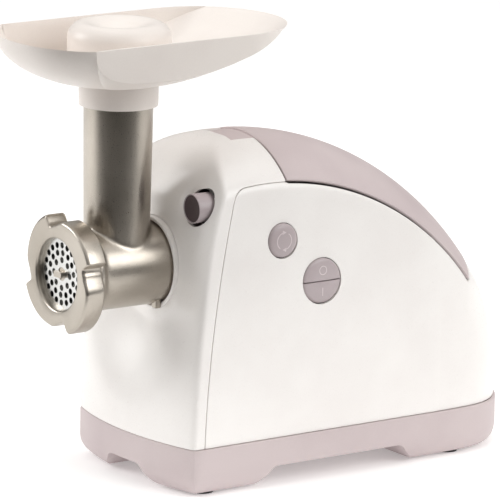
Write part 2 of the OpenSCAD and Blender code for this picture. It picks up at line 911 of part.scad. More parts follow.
module cooling_fan() {
    color("#e2ded6") difference() {
        union() {
            bar(124, 138, 9, [0, motor_z]);
            bar(124, 126, 34, [0, motor_z]);
            for (n = [0 : 10])
                translate([0, tube_y + 125, motor_z]) rotate([0, 360 * n / 11, 0])
                    translate([6, 0, -1]) cube([26, 12, 2]);
        }
        bar(120, 140, shaft_r + 0.02, [0, motor_z]);
    }
}

// ---------------------------------------------------------------- controls

module reverse_button() {
    color(plum) difference() {
        union() {
            cross_bar(59, reverse_face, reverse_r, reverse_at);
            cross_bar(56, 60, reverse_r + 1.6, reverse_at);
        }
        cross_bar(50, 62, reverse_r - 3, reverse_at);
    }
}

module reverse_spring() {
    color(steel) translate([48.6, tube_y + reverse_at[0], reverse_at[1]])
        rotate([0, 90, 0]) coil(6, 0.5, 13.3, 5);
}

// Half of the round rocker pair; s is 1 for the upper key and -1 for the lower
module half_key(s) {
    color(plum) intersection() {
        difference() {
            cross_bar(54, keys_face, keys_r, keys_at);
            cross_bar(51, 68, keys_r - 3, keys_at);
        }
        translate([40, tube_y + keys_at[0] - 30, keys_at[1] + (s > 0 ? 0.4 : -30.4)]) cube([60, 60, 30]);
    }
}

module off_key() { half_key(1); }

module on_key() { half_key(-1); }

module release_button() {
    color(plum) difference() {
        bar(release_face, 56, release_r, release_at);
        bar(48, 57, release_r - 2.5, release_at);
    }
}

module latch_pin() {
    color(steel) bar(48.2, 70, 3, release_at);
}

module release_spring() {
    color(steel) translate([release_at[0], tube_y + 48.2, release_at[1]])
        rotate([-90, 0, 0]) coil(4.8, 0.5, 19.5, 6);
}

base();
rubber_feet();
base_screws();
front_housing();
side_shell_right();
side_shell_left();
shell_screws();
head_socket();
gearbox_housing();
gearbox_cover();
gearbox_screws();
output_bearing();
motor_front_bearing();
motor_rear_bearing();
motor_front_bracket();
motor_rear_bracket();
motor_stator();
field_windings();
brush_holders();
carbon_brushes();
switch_block();
control_board();
cord_gland();
storage_box();
spare_plate_medium();
spare_plate_coarse();
lid_hinge_bracket();
lid_hinge_pins();
storage_lid();
head_casting();
perforated_plate();
ring_nut();
hopper_tray();
pusher();
pusher_cap();
auger();
knife();
drive_dog();
output_shaft();
output_gear();
idler_shaft();
idler_large_gear();
idler_small_gear();
motor_shaft();
armature();
commutator();
cooling_fan();
motor_pinion();
reverse_button();
reverse_spring();
off_key();
on_key();
release_button();
latch_pin();
release_spring();
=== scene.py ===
"""Electric meat grinder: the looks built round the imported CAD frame.

Every length inside the classes is in millimetres and turned to metres as a mesh is placed.
Places along the machine are given from the feed tube's axis, as in the CAD model.
"""

import json
import logging
import math
from dataclasses import dataclass
from enum import Enum
from typing import Callable, ClassVar, Sequence

import bpy
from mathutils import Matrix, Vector


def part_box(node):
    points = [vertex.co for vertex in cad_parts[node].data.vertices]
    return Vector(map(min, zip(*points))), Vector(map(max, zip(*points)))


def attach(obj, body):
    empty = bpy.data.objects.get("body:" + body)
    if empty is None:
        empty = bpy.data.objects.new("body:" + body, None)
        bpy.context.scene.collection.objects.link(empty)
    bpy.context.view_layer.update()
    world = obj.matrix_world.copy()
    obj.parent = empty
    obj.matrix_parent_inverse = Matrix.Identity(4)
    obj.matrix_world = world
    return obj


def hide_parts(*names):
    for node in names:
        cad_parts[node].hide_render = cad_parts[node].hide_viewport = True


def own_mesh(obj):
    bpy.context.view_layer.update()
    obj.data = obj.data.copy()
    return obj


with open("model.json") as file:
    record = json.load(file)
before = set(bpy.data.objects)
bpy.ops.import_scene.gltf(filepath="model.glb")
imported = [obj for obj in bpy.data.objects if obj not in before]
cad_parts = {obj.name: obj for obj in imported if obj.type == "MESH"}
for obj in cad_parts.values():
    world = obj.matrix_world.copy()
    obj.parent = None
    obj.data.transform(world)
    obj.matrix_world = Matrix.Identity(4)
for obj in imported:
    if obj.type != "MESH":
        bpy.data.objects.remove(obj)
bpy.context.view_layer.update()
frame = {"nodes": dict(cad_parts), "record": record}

MM = 0.001
LOG = logging.getLogger("meat_grinder")
Point = tuple[float, float, float]
Flat = tuple[float, float]
Piece = bpy.types.Object


# ------------------------------------------------------------------ small helpers


def linear(hex_colour: str) -> tuple[float, float, float, float]:
    """Turns an sRGB hex colour into linear light.

    Args:
        hex_colour: Six hex digits after a hash.

    Returns:
        Red, green, blue and an alpha of one.
    """
    parts = [int(hex_colour[i : i + 2], 16) / 255 for i in (1, 3, 5)]
    red, green, blue = (p / 12.92 if p <= 0.04045 else ((p + 0.055) / 1.055) ** 2.4 for p in parts)
    return red, green, blue, 1.0


def mix(a: float, b: float, t: float) -> float:
    """Returns the value a share t of the way from a to b."""
    return a + (b - a) * t


def smooth_max(a: float, b: float, k: float) -> float:
    """Joins two distances with a rounded corner.

    Args:
        a: First distance.
        b: Second distance.
        k: Width over which they are blended.

    Returns:
        The larger one, raised a little where they are close.
    """
    h = max(k - abs(a - b), 0.0) / k
    return max(a, b) + h * h * k / 4


def last_inside(test: Callable[[float], bool], low: float, high: float, steps: int = 24) -> float:
    """Finds where a test turns from true to false by halving.

    Args:
        test: True at low, false at high.
        low: A value that passes.
        high: A value that fails.
        steps: Number of halvings.

    Returns:
        The value at the change.
    """
    for _ in range(steps):
        middle = (low + high) / 2
        if test(middle):
            low = middle
        else:
            high = middle
    return (low + high) / 2


def arc_points(centre: Flat, radius: float, start: float, end: float, steps: int) -> list[Flat]:
    """Lists points on an arc.

    Args:
        centre: The arc's centre.
        radius: Its radius.
        start: First angle in degrees.
        end: Last angle in degrees.
        steps: Number of steps between them.

    Returns:
        The points from start to end.
    """
    angles = [math.radians(mix(start, end, i / steps)) for i in range(steps + 1)]
    return [(centre[0] + radius * math.cos(a), centre[1] + radius * math.sin(a)) for a in angles]


def near(corner: Flat, *steps: Flat) -> list[Flat]:
    """Lists points of a profile by their distances from a corner of it."""
    return [(corner[0] + across, corner[1] + along) for across, along in steps]


# ------------------------------------------------------------------ modelling operators


def select_only(piece: Piece) -> None:
    """Makes one object the only one selected, and active."""
    bpy.ops.object.select_all(action="DESELECT")
    piece.select_set(True)
    bpy.context.view_layer.objects.active = piece


def edit_all(piece: Piece, *operators: Callable[[], object]) -> None:
    """Runs edit-mode operators on the whole of a piece.

    Args:
        piece: The object to edit.
        operators: Calls to make with everything selected.
    """
    select_only(piece)
    bpy.ops.object.mode_set(mode="EDIT")
    bpy.ops.mesh.select_all(action="SELECT")
    for operator in operators:
        operator()
    bpy.ops.object.mode_set(mode="OBJECT")


def finish_modifier(piece: Piece, kind: str, **settings: object) -> None:
    """Adds a modifier, sets it and applies it.

    Args:
        piece: The object to change.
        kind: The modifier's type.
        settings: Its properties.
    """
    modifier = piece.modifiers.new(kind.title(), kind)
    for key, value in settings.items():
        setattr(modifier, key, value)
    select_only(piece)
    bpy.ops.object.modifier_apply(modifier=modifier.name)


def round_edges(piece: Piece, width: float, segments: int = 3, angle: float = 35.0) -> None:
    """Rounds the sharp edges of a piece.

    Args:
        piece: The object to round.
        width: Bevel width in millimetres.
        segments: Number of faces across the bevel.
        angle: Smallest edge angle that is rounded, in degrees.
    """
    finish_modifier(piece, "BEVEL", width=width * MM, segments=segments, limit_method="ANGLE",
                    angle_limit=math.radians(angle), use_clamp_overlap=True, harden_normals=False)


def cut(piece: Piece, cutter: Piece, operation: str = "DIFFERENCE") -> None:
    """Takes a cutter away from a piece, or joins it on, and removes the cutter.

    Args:
        piece: The object to change.
        cutter: The object used up.
        operation: DIFFERENCE, UNION or INTERSECT.
    """
    finish_modifier(piece, "BOOLEAN", object=cutter, operation=operation, solver="EXACT")
    bpy.data.objects.remove(cutter, do_unlink=True)


def thicken(piece: Piece, wall: float, **settings: object) -> None:
    """Gives an outer skin its wall, inwards, in millimetres."""
    finish_modifier(piece, "SOLIDIFY", thickness=wall * MM, offset=-1.0, **settings)


def smooth(piece: Piece, angle: float = 32.0) -> None:
    """Shades a piece smooth except over edges sharper than an angle in degrees."""
    select_only(piece)
    bpy.ops.object.shade_smooth_by_angle(angle=math.radians(angle))


def surface(name: str, columns: int, rows: int, place: Callable[[int, int], Point]) -> Piece:
    """Adds a grid and moves each of its points to a place worked out from its column and row.

    Args:
        name: The piece's name.
        columns: Number of faces along the grid.
        rows: Number of faces across it.
        place: Gives a point in millimetres for a column and a row.

    Returns:
        The new object, with coinciding points merged.
    """
    bpy.ops.object.select_all(action="DESELECT")
    bpy.ops.mesh.primitive_grid_add(x_subdivisions=columns, y_subdivisions=rows, size=2.0)
    piece = bpy.context.object
    piece.name = piece.data.name = name
    for vertex in piece.data.vertices:
        column = round((vertex.co.x + 1) / 2 * columns)
        row = round((vertex.co.y + 1) / 2 * rows)
        vertex.co = Vector(place(column, row)) * MM
    edit_all(piece, lambda: bpy.ops.mesh.remove_doubles(threshold=2e-6))
    return piece


def face_away(piece: Piece, centre: Point) -> None:
    """Turns an open sheet's faces away from a point, given in millimetres."""
    middle = Vector(centre) * MM
    lean = sum(f.area * f.normal.dot(f.center - middle) for f in piece.data.polygons)
    if lean < 0:
        edit_all(piece, bpy.ops.mesh.flip_normals)


def recalculate(piece: Piece) -> None:
    """Points a closed piece's faces outwards."""
    edit_all(piece, lambda: bpy.ops.mesh.normals_make_consistent(inside=False))


def close_ends(piece: Piece) -> None:
    """Fills the open ends of a tube of faces and points its faces outwards."""
    edit_all(piece, lambda: bpy.ops.mesh.select_all(action="DESELECT"),
             lambda: bpy.ops.mesh.select_non_manifold(),
             lambda: bpy.ops.mesh.fill_holes(sides=0))
    recalculate(piece)


class Axis(Enum):
    """Direction that a turned piece's height runs along."""

    X = "x"
    Y = "y"
    Z = "z"

    def point(self, centre: Point, across: float, up: float, height: float) -> Point:
        """Places a point by its distances across, up and along this axis from a centre."""
        x, y, z = centre
        if self is Axis.X:
            return x + height, y + across, z + up
        if self is Axis.Y:
            return x + across, y + height, z + up
        return x + across, y + up, z + height


def turned(name: str, profile: Sequence[Flat], axis: Axis, centre: Point, sides: int = 96) -> Piece:
    """Turns a closed or pole-to-pole profile about an axis.

    Args:
        name: The piece's name.
        profile: Radius and height pairs in order.
        axis: The axis to turn about.
        centre: Where height zero is, in millimetres.
        sides: Number of steps round.

    Returns:
        The turned piece, facing outwards.
    """

    def place(column: int, row: int) -> Point:
        """Gives a point of the turned surface."""
        angle = 2 * math.pi * column / sides
        radius, height = profile[row]
        return axis.point(centre, radius * math.cos(angle), radius * math.sin(angle), height)

    piece = surface(name, sides, len(profile) - 1, place)
    recalculate(piece)
    smooth(piece)
    return piece


def drill(piece: Piece, axis: Axis, centre: Point, radius: float, depths: Flat, sides: int) -> None:
    """Cuts a round hole of a radius between two heights along an axis, all in millimetres."""
    low, high = depths
    cut(piece, turned("drill", [(0, low), (radius, low), (radius, high), (0, high)], axis, centre, sides))


def slab(name: str, low: Point, high: Point) -> Piece:
    """Adds a box between two corners given in millimetres, used as a cutter."""
    size = [h - l for l, h in zip(low, high)]
    middle = [(h + l) / 2 * MM for l, h in zip(low, high)]
    bpy.ops.object.select_all(action="DESELECT")
    bpy.ops.mesh.primitive_cube_add(size=1.0, location=middle, scale=[s * MM for s in size])
    bpy.ops.object.transform_apply(location=True, rotation=True, scale=True)
    piece = bpy.context.object
    piece.name = name
    return piece


def prism(name: str, outline: Sequence[Flat], place: Callable[[Flat, float], Point],
          depths: Flat) -> Piece:
    """Extrudes a closed outline between two depths.

    Args:
        name: The piece's name.
        outline: Points in order round the outline.
        place: Turns an outline point and a depth into a point in millimetres.
        depths: First and last depth.

    Returns:
        The closed prism.
    """
    count = len(outline)
    piece = surface(name, count, 1, lambda c, r: place(outline[c % count], depths[r]))
    close_ends(piece)
    return piece


def join(name: str, pieces: Sequence[Piece]) -> Piece:
    """Joins pieces into the first one and names it."""
    select_only(pieces[0])
    for piece in pieces[1:]:
        piece.select_set(True)
    bpy.ops.object.join()
    pieces[0].name = pieces[0].data.name = name
    return pieces[0]


# ------------------------------------------------------------------ finishes


def add_node(tree: bpy.types.NodeTree, kind: str, settings: dict | None = None,
             values: dict | None = None, links: dict | None = None) -> bpy.types.Node:
    """Adds a shader node with its settings and links.

    Args:
        tree: The material's node tree.
        kind: The node's type.
        settings: Properties of the node.
        values: Constants for its inputs, by name or number.
        links: Outputs that feed its inputs, by name or number.

    Returns:
        The new node.
    """
    node = tree.nodes.new(kind)
    for key, value in (settings or {}).items():
        setattr(node, key, value)
    for key, value in (values or {}).items():
        node.inputs[key].default_value = value
    for key, output in (links or {}).items():
        tree.links.new(output, node.inputs[key])
    return node


def add_ramp(tree: bpy.types.NodeTree, factor: bpy.types.NodeSocket,
             stops: Sequence[tuple[float, Sequence[float]]]) -> bpy.types.NodeSocket:
    """Adds a colour ramp between two stops.

    Args:
        tree: The node tree.
        factor: Output that drives the ramp.
        stops: Position and linear colour of each end.

    Returns:
        The ramp's colour output.
    """
    ramp = add_node(tree, "ShaderNodeValToRGB", links={"Fac": factor})
    for element, (position, colour) in zip(ramp.color_ramp.elements, stops):
        element.position = position
        element.color = colour
    return ramp.outputs["Color"]


@dataclass(frozen=True)
class Finish:
    """A surface finish: what the material is and how its surface was made."""

    name: str
    colour: str
    second: str
    roughness: float
    rough_spread: float
    grain_mm: float
    grain_depth_mm: float
    metallic: float = 0.0
    ior: float = 1.5
    coat: float = 0.0
    patch_mm: float = 60.0
    stretch: tuple[float, float, float] = (1.0, 1.0, 1.0)
    glow: float = 0.0

    def material(self) -> bpy.types.Material:
        """Builds the material once and returns it."""
        known = bpy.data.materials.get(self.name)
        if known:
            return known
        material = bpy.data.materials.new(self.name)
        material.use_nodes = True
        tree = material.node_tree
        shader = tree.nodes["Principled BSDF"]
        shader.inputs["Metallic"].default_value = self.metallic
        if not self.metallic:
            shader.inputs["IOR"].default_value = self.ior
        if self.coat:
            shader.inputs["Coat Weight"].default_value = self.coat
            shader.inputs["Coat Roughness"].default_value = 0.2
        if self.glow:
            shader.inputs["Emission Color"].default_value = linear(self.colour)
            shader.inputs["Emission Strength"].default_value = self.glow
        place = add_node(tree, "ShaderNodeTexCoord")
        along = add_node(tree, "ShaderNodeMapping", values={"Scale": self.stretch},
                         links={"Vector": place.outputs["Object"]})
        patches = add_node(tree, "ShaderNodeTexNoise",
                           values={"Scale": 1 / (self.patch_mm * MM), "Detail": 3.0},
                           links={"Vector": place.outputs["Object"]})
        grain = add_node(tree, "ShaderNodeTexNoise",
                         values={"Scale": 1 / (self.grain_mm * MM), "Detail": 3.0, "Roughness": 0.6},
                         links={"Vector": along.outputs["Vector"]})
        blend = add_node(tree, "ShaderNodeMath", {"operation": "MULTIPLY_ADD"}, {1: 0.35},
                         {0: grain.outputs["Fac"], 2: patches.outputs["Fac"]})
        stops = ((0.45, linear(self.second)), (0.8, linear(self.colour)))
        tint = add_ramp(tree, blend.outputs["Value"], stops)
        tree.links.new(tint, shader.inputs["Base Color"])
        rough = add_node(tree, "ShaderNodeMapRange",
                         values={"From Min": 0.3, "From Max": 0.7,
                                 "To Min": self.roughness - self.rough_spread,
                                 "To Max": self.roughness + self.rough_spread},
                         links={"Value": grain.outputs["Fac"]})
        tree.links.new(rough.outputs["Result"], shader.inputs["Roughness"])
        bump = add_node(tree, "ShaderNodeBump",
                        values={"Strength": 1.0, "Distance": self.grain_depth_mm * MM},
                        links={"Height": grain.outputs["Fac"]})
        tree.links.new(bump.outputs["Normal"], shader.inputs["Normal"])
        return material

    def dress(self, piece: Piece) -> None:
        """Gives a piece this finish as its only material."""
        piece.data.materials.clear()
        piece.data.materials.append(self.material())

    def dress_cad(self, node: str) -> None:
        """Gives a carried-over CAD node this finish in every slot."""
        target = frame["nodes"][node]
        for slot in target.material_slots:
            slot.material = self.material()
        if not target.material_slots:
            target.data.materials.append(self.material())


# White ABS, moulded in a polished tool: a soft gloss over a warm white with hardly any grain.
WHITE_ABS = Finish("white_abs_moulded", "#F7F4F1", "#F1EDEA", 0.30, 0.03, 1.2, 0.004, coat=0.25)
# Food-grade polypropylene of the tray and pusher: creamier and a little duller than the ABS.
CREAM_PP = Finish("cream_polypropylene", "#F1EAE4", "#EBE3DD", 0.38, 0.04, 1.4, 0.006)
# Mauve-grey ABS, moulded in a spark-eroded tool: an even, fine matt texture.
MAUVE_ABS = Finish("mauve_abs_textured", "#CFC2C2", "#C6B8B9", 0.46, 0.05, 0.9, 0.016)
# Darker plum-grey ABS of the keys, smoother from handling.
PLUM_ABS = Finish("plum_abs_keys", "#B8ACAE", "#AEA2A4", 0.34, 0.04, 0.8, 0.008)
# Dark ABS of the inlay in the release button: its dark colour is painted shade, standing for the shadow in
# the button's recessed end.
SHADE_DARK_ABS = Finish("painted_shade_abs_inlay", "#5A4D50", "#4C4143", 0.32, 0.05, 0.8, 0.01)
# Pale ink of the printed marks on the keys.
PALE_INK = Finish("pale_printed_ink", "#DDD3D4", "#D2C7C9", 0.5, 0.04, 0.6, 0.004)
# Aluminium, cast and tumbled: satin, with a grain that shows as a soft sparkle.
CAST_ALUMINIUM = Finish("cast_aluminium_tumbled", "#BDB6AC", "#A69F95", 0.33, 0.07, 0.7, 0.035, metallic=1.0)
# Stainless steel, ground: brighter and smoother than the casting, with fine lines.
GROUND_STEEL = Finish("stainless_steel_ground", "#D6D6D4", "#BDBDBB", 0.24, 0.06, 0.5, 0.008, metallic=1.0,
                      stretch=(1.0, 1.0, 8.0))
# Silicon steel laminations with a dark oxide skin.
LAMINATIONS = Finish("lamination_steel_oxide", "#6E7070", "#4F5152", 0.45, 0.08, 0.6, 0.03, metallic=1.0,
                     stretch=(0.3, 6.0, 0.3))
# Sintered bronze of the bush.
BRONZE = Finish("sintered_bronze", "#B08D57", "#8F6F40", 0.42, 0.08, 0.5, 0.02, metallic=1.0)
# Enamelled copper wire and copper bars.
COPPER = Finish("enamelled_copper", "#C07A45", "#9A5A2E", 0.30, 0.08, 0.6, 0.04, metallic=1.0,
                stretch=(0.3, 1.0, 6.0))
# Acetal, moulded: waxy off-white of the gears and the fan.
ACETAL = Finish("acetal_moulded", "#E4DDCC", "#D8D0BD", 0.36, 0.04, 0.8, 0.006)
# Glass-filled nylon, black.
BLACK_NYLON = Finish("black_nylon", "#33302F", "#282625", 0.48, 0.06, 0.7, 0.012)
# Circuit board under green solder mask.
SOLDER_MASK = Finish("green_solder_mask", "#2F6B45", "#245437", 0.28, 0.05, 2.0, 0.01)
# Rubber, moulded, matt.
RUBBER = Finish("moulded_rubber", "#3A3737", "#2C2A2A", 0.72, 0.06, 0.5, 0.02)

CAD_FINISHES = {
    "white_plastic": WHITE_ABS, "mauve_plastic": MAUVE_ABS, "button_plastic": PLUM_ABS,
    "cast_aluminium": CAST_ALUMINIUM, "bright_steel": GROUND_STEEL, "dark_metal": LAMINATIONS,
    "bronze": BRONZE, "copper": COPPER, "gear_plastic": ACETAL, "black_plastic": BLACK_NYLON,
    "board_green": SOLDER_MASK, "rubber": RUBBER,
}


# ------------------------------------------------------------------ shape of the body


def joint_place(name: str) -> Point:
    """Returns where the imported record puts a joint, in millimetres."""
    joints = {joint["name"]: joint for joint in frame["record"]["behaviour"]["joints"]}
    x, y, z = (c / MM for c in joints[name]["pos_m"])
    return x, y, z


@dataclass(frozen=True)
class Layout:
    """Places that the CAD frame gives, in millimetres."""

    tube_y: float
    axis_z: float
    seam_z: float
    rim_z: float
    body_half: float
    rear: float

    @staticmethod
    def from_frame() -> "Layout":
        """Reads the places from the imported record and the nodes' boxes."""
        _, tube_y, axis_z = joint_place("head_turn")
        base_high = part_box("base")[1]
        return Layout(tube_y, axis_z, base_high[2] / MM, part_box("hopper_tray")[1][2] / MM,
                      base_high[0] / MM - 1.0, base_high[1] / MM - tube_y)

    def at(self, x: float, y: float, z: float) -> Point:
        """Places a point given from the feed tube's axis."""
        return x, self.tube_y + y, z


LAYOUT = Layout.from_frame()


@dataclass(frozen=True)
class Home:
    """What a piece is made of and where it belongs in the machine."""

    finish: Finish
    body: str
    slot: str
    node: str | None = None

    def dress(self, piece: Piece) -> None:
        """Gives a piece its finish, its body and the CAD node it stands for."""
        self.finish.dress(piece)
        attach(piece, self.body)
        if self.node:
            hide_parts(self.node)


class Part:
    """A part of the machine made as one piece, dressed as its home says."""

    home: ClassVar[Home]

    def dress(self, piece: Piece) -> None:
        """Gives the piece its finish and its place in the machine."""
        self.home.dress(piece)


@dataclass(frozen=True)
class BodyForm:
    """The outer form of the motor unit as a rounded meeting of its crown, walls and ends."""

    sweep: Flat = (92.0, 5.0)
    crown_out: float = 252.5
    lid_r: float = 224.2
    drop: float = 29.0
    side_arc: Flat = (1050.0, 70.0)
    front: float = 8.7
    front_arc: float = 250.0
    lean: float = 90.0
    lean_z: float = 50.0
    top_z: float = 257.0
    rear_r: float = 92.0
    socket_face: float = 31.0
    release: Flat = (47.0, 213.0)
    reverse: Flat = (101.0, 186.0)
    keys: Flat = (135.5, 152.0)
    edge: Flat = (30.3, 0.00088)
    lid_front: float = 108.0
    lid_end: float = 35.5
    corner: float = 7.5
    crown_blend: Flat = (26.0, 3.0)
    rear_blend: float = 20.0
    front_blend: float = 2.6
    dish_blend: float = 16.0
    dish_r: float = 34.0
    dish_depth: float = 24.0
    thumb_blend: float = 5.0
    thumb_r: float = 9.0
    thumb_face: float = 42.6
    thumb_off: float = 5.0

    def release_centre(self) -> Point:
        """Returns the release button's centre in the plane of the feed tube's axis."""
        return LAYOUT.at(self.release[0], 0, self.release[1])

    def half_width(self, z: float) -> float:
        """Returns the side wall's distance from the middle at a height."""
        radius, height = self.side_arc
        return LAYOUT.body_half - (z - height) ** 2 / (2 * radius)

    def lean_at(self, z: float) -> float:
        """Returns how far the front wall leans back at a height."""
        t = min(max((z - self.lean_z) / (self.top_z - self.lean_z), 0.0), 1.0)
        return self.lean * (1 - (1 - t**1.75) ** (1 / 3))

    def crown_at(self, x: float, angle: float) -> float:
        """Returns the crown's distance from the sweep centre at x and at an angle in radians."""
        crease = self.half_width(self.sweep[1] + self.lid_r * max(math.sin(angle), 0.0))
        radius = (crease**2 + self.drop**2) / (2 * self.drop)
        return self.crown_out - radius + math.sqrt(max(radius**2 - x * x, 0.0))

    def dish(self, x: float, z: float) -> float:
        """Returns how far back the hollow round the barrel reaches at a place on the front."""
        r = math.hypot(x / 1.25, (z - LAYOUT.axis_z) / (1.25 if z < LAYOUT.axis_z else 1.1))
        return self.socket_face - self.dish_depth * (max(r - self.dish_r, 0) / 44) ** 1.35

    def thumb_dish(self, x: float, z: float) -> float:
        """Returns how far back the hollow beside the release button reaches."""
        r = math.hypot(x - self.release[0] + self.thumb_off, z - self.release[1] - self.thumb_off)
        return self.thumb_face - 11.0 * (max(r - self.thumb_r, 0) / self.thumb_r) ** 1.6

    def outside(self, x: float, y: float, z: float) -> float:
        """Returns a distance that is positive outside the form; y is from the feed tube's axis."""
        back, up = y - self.sweep[0], z - self.sweep[1]
        angle = math.atan2(up, back)
        side = abs(x) - self.half_width(z)
        crown = math.hypot(back, up) - self.crown_at(x, angle)
        blend = mix(*self.crown_blend, min(max((math.degrees(angle) - 27) / 8, 0.0), 1.0))
        body = smooth_max(side, crown, blend)
        if y > 150:
            rear = math.hypot(x, y - (LAYOUT.rear - self.rear_r)) - self.rear_r
            return smooth_max(body, rear, self.rear_blend) if y > LAYOUT.rear - self.rear_r else body
        front = math.hypot(x, y - self.front - self.front_arc) - (self.front_arc - self.lean_at(z))
        body = smooth_max(body, front, self.front_blend)
        body = smooth_max(body, self.dish(x, z) - y, self.dish_blend)
        if x > 20:
            body = smooth_max(body, self.thumb_dish(x, z) - y, self.thumb_blend)
        return body

    def ray(self, start: Point, way: Point, reach: float = 420.0) -> Point:
        """Goes out from an inside point to the surface.

        Args:
            start: A point inside, from the feed tube's axis.
            way: Direction of travel.
            reach: Farthest distance looked at.

        Returns:
            The surface point, from the feed tube's axis.
        """

        def spot(t: float) -> Point:
            """Gives the point at a distance along the ray."""
            return start[0] + way[0] * t, start[1] + way[1] * t, start[2] + way[2] * t

        return spot(last_inside(lambda t: self.outside(*spot(t)) < 0, 0.0, reach))

    def in_side_shell(self, y: float, z: float, gap: float, top_gap: float = 0.0) -> bool:
        """Tells whether a place in side view is on the side shell, grown by a gap.

        Args:
            y: Place along the machine, from the feed tube's axis.
            z: Height.
            gap: How far the shell is grown all round.
            top_gap: How much more it is grown where it meets the lid.

        Returns:
            True inside the grown outline.
        """
        back, up = y - self.sweep[0], z - self.sweep[1]
        start, curve = self.edge
        from_edge = y - (start + curve * (z - LAYOUT.seam_z) ** 2) + gap
        line = math.radians(self.lid_end)
        below_lid = (up * math.cos(line) - back * math.sin(line)) < gap
        from_arc = self.lid_r + gap + (top_gap if y > self.lid_front else 0.0) - math.hypot(back, up)
        if from_edge < -1e-6:
            return False
        if from_edge < self.corner and from_arc < self.corner and y < 150:
            return math.hypot(self.corner - from_edge, self.corner - from_arc) <= self.corner + 1e-6
        return from_arc > 0 or below_lid


FORM = BodyForm()


# ------------------------------------------------------------------ body shells


@dataclass
class SideShell:
    """One moulded half of the body: a side wall that wraps round the rear."""

    side: int
    wall: float = 2.6
    rows: int = 64
    flat_columns: int = 76
    rear_columns: int = 64
    vent_x: float = 30.0
    vent_half: float = 4.6
    vent_y: Flat = (286.0, 330.0)
    vent_z: Flat = (112.0, 156.0)
    key_holes: Flat = (13.5, 17.7)

    @property
    def node(self) -> str:
        """Names the CAD node of this side."""
        return "side_shell_right" if self.side > 0 else "side_shell_left"

    def build(self) -> Piece:
        """Builds the shell with its rounded rim and its key holes."""
        pivot = LAYOUT.rear - FORM.rear_r
        low = LAYOUT.seam_z + 0.3

        def spot(column: int, z: float) -> Flat:
            """Gives x and y of the surface in a column at a height."""
            if column <= self.flat_columns:
                share = (column / self.flat_columns) ** 1.35
                start = FORM.edge[0] + FORM.edge[1] * (z - LAYOUT.seam_z) ** 2 + 0.25
                y = mix(start, pivot, share)
                return FORM.ray((0.0, y, z), (1.0, 0.0, 0.0), 120.0)[0], y
            turn = math.radians(90 * (column - self.flat_columns) / self.rear_columns)
            hit = FORM.ray((0.0, pivot, z), (math.cos(turn), math.sin(turn), 0.0), 200.0)
            return max(hit[0], 0.15), hit[1]

        tops = [last_inside(lambda z: FORM.in_side_shell(spot(c, z)[1], z, -0.2, -0.9), low, 236.0, 18)
                for c in range(self.flat_columns + self.rear_columns + 1)]

        def place(column: int, row: int) -> Point:
            """Gives a point of the outer skin."""
            z = mix(low, tops[column], row / self.rows)
            x, y = spot(column, z)
            return LAYOUT.at(self.side * x, y, z)

        piece = surface(f"{self.node}_skin", self.flat_columns + self.rear_columns, self.rows, place)
        face_away(piece, LAYOUT.at(0, 180, 100))
        thicken(piece, self.wall, use_even_offset=True)
        round_edges(piece, 0.55, 2, 50)
        if self.side > 0:
            for centre, radius in zip((FORM.reverse, FORM.keys), self.key_holes):
                drill(piece, Axis.X, LAYOUT.at(0, *centre), radius, (40, 90), 72)
        x, half = self.side * self.vent_x, self.vent_half
        (front, rear), (foot, top) = self.vent_y, self.vent_z
        cut(piece, slab("vent", LAYOUT.at(x - half, front, foot), LAYOUT.at(x + half, rear, top)))
        smooth(piece, 40)
        return piece

    def dress(self, piece: Piece) -> None:
        """Gives the shell its finish and its place in the machine."""
        Home(WHITE_ABS, "motor_unit", "white_plastic", self.node).dress(piece)


@dataclass
class FrontHousing(Part):
    """The front moulding: a bowed wall with a hollow round the barrel, closed over the top."""

    home: ClassVar[Home] = Home(WHITE_ABS, "motor_unit", "white_plastic", "front_housing")
    wall: float = 2.6
    columns: int = 190
    rows: int = 120
    hole_r: float = 35.2
    release_hole_r: float = 13.6
    tongue_half: float = 21.6

    def build(self) -> Piece:
        """Builds the housing with its holes and the notch for the lid's tongue."""
        root = (FORM.lid_front - 0.5, LAYOUT.seam_z + 0.3)

        def edge_at(way: Flat) -> float:
            """Gives the distance at which a ray in side view leaves the side shell."""
            return last_inside(
                lambda t: FORM.in_side_shell(root[0] + way[0] * t, root[1] + way[1] * t, 0.3), 1.0, 260.0)

        fans = []
        for row in range(self.rows + 1):
            turn = math.radians(mix(180.0, 90.0, row / self.rows))
            way = (math.cos(turn), math.sin(turn))
            fans.append((way, edge_at(way)))

        def place(column: int, row: int) -> Point:
            """Gives a point of the outer skin."""
            way, start = fans[row]
            share = column / self.columns
            turn = math.pi * (share + 0.045 * math.sin(4 * math.pi * share))
            spread, out = math.cos(turn), math.sin(turn)
            origin = (0.0, root[0] + way[0] * start, root[1] + way[1] * start)
            hit = FORM.ray(origin, (spread, way[0] * out, way[1] * out), 220.0)
            return LAYOUT.at(*hit)

        piece = surface("front_housing_skin", self.columns, self.rows, place)
        face_away(piece, LAYOUT.at(0, 110, 120))
        thicken(piece, self.wall, use_even_offset=True)
        round_edges(piece, 0.55, 2, 50)
        drill(piece, Axis.Y, LAYOUT.at(0, 0, LAYOUT.axis_z), self.hole_r, (0, 60), 120)
        drill(piece, Axis.Y, FORM.release_centre(), self.release_hole_r, (20, 70), 72)
        half = self.tongue_half
        cut(piece, slab("notch", LAYOUT.at(-half, 86.6, 236), LAYOUT.at(half, 120, 280)))
        smooth(piece, 40)
        return piece


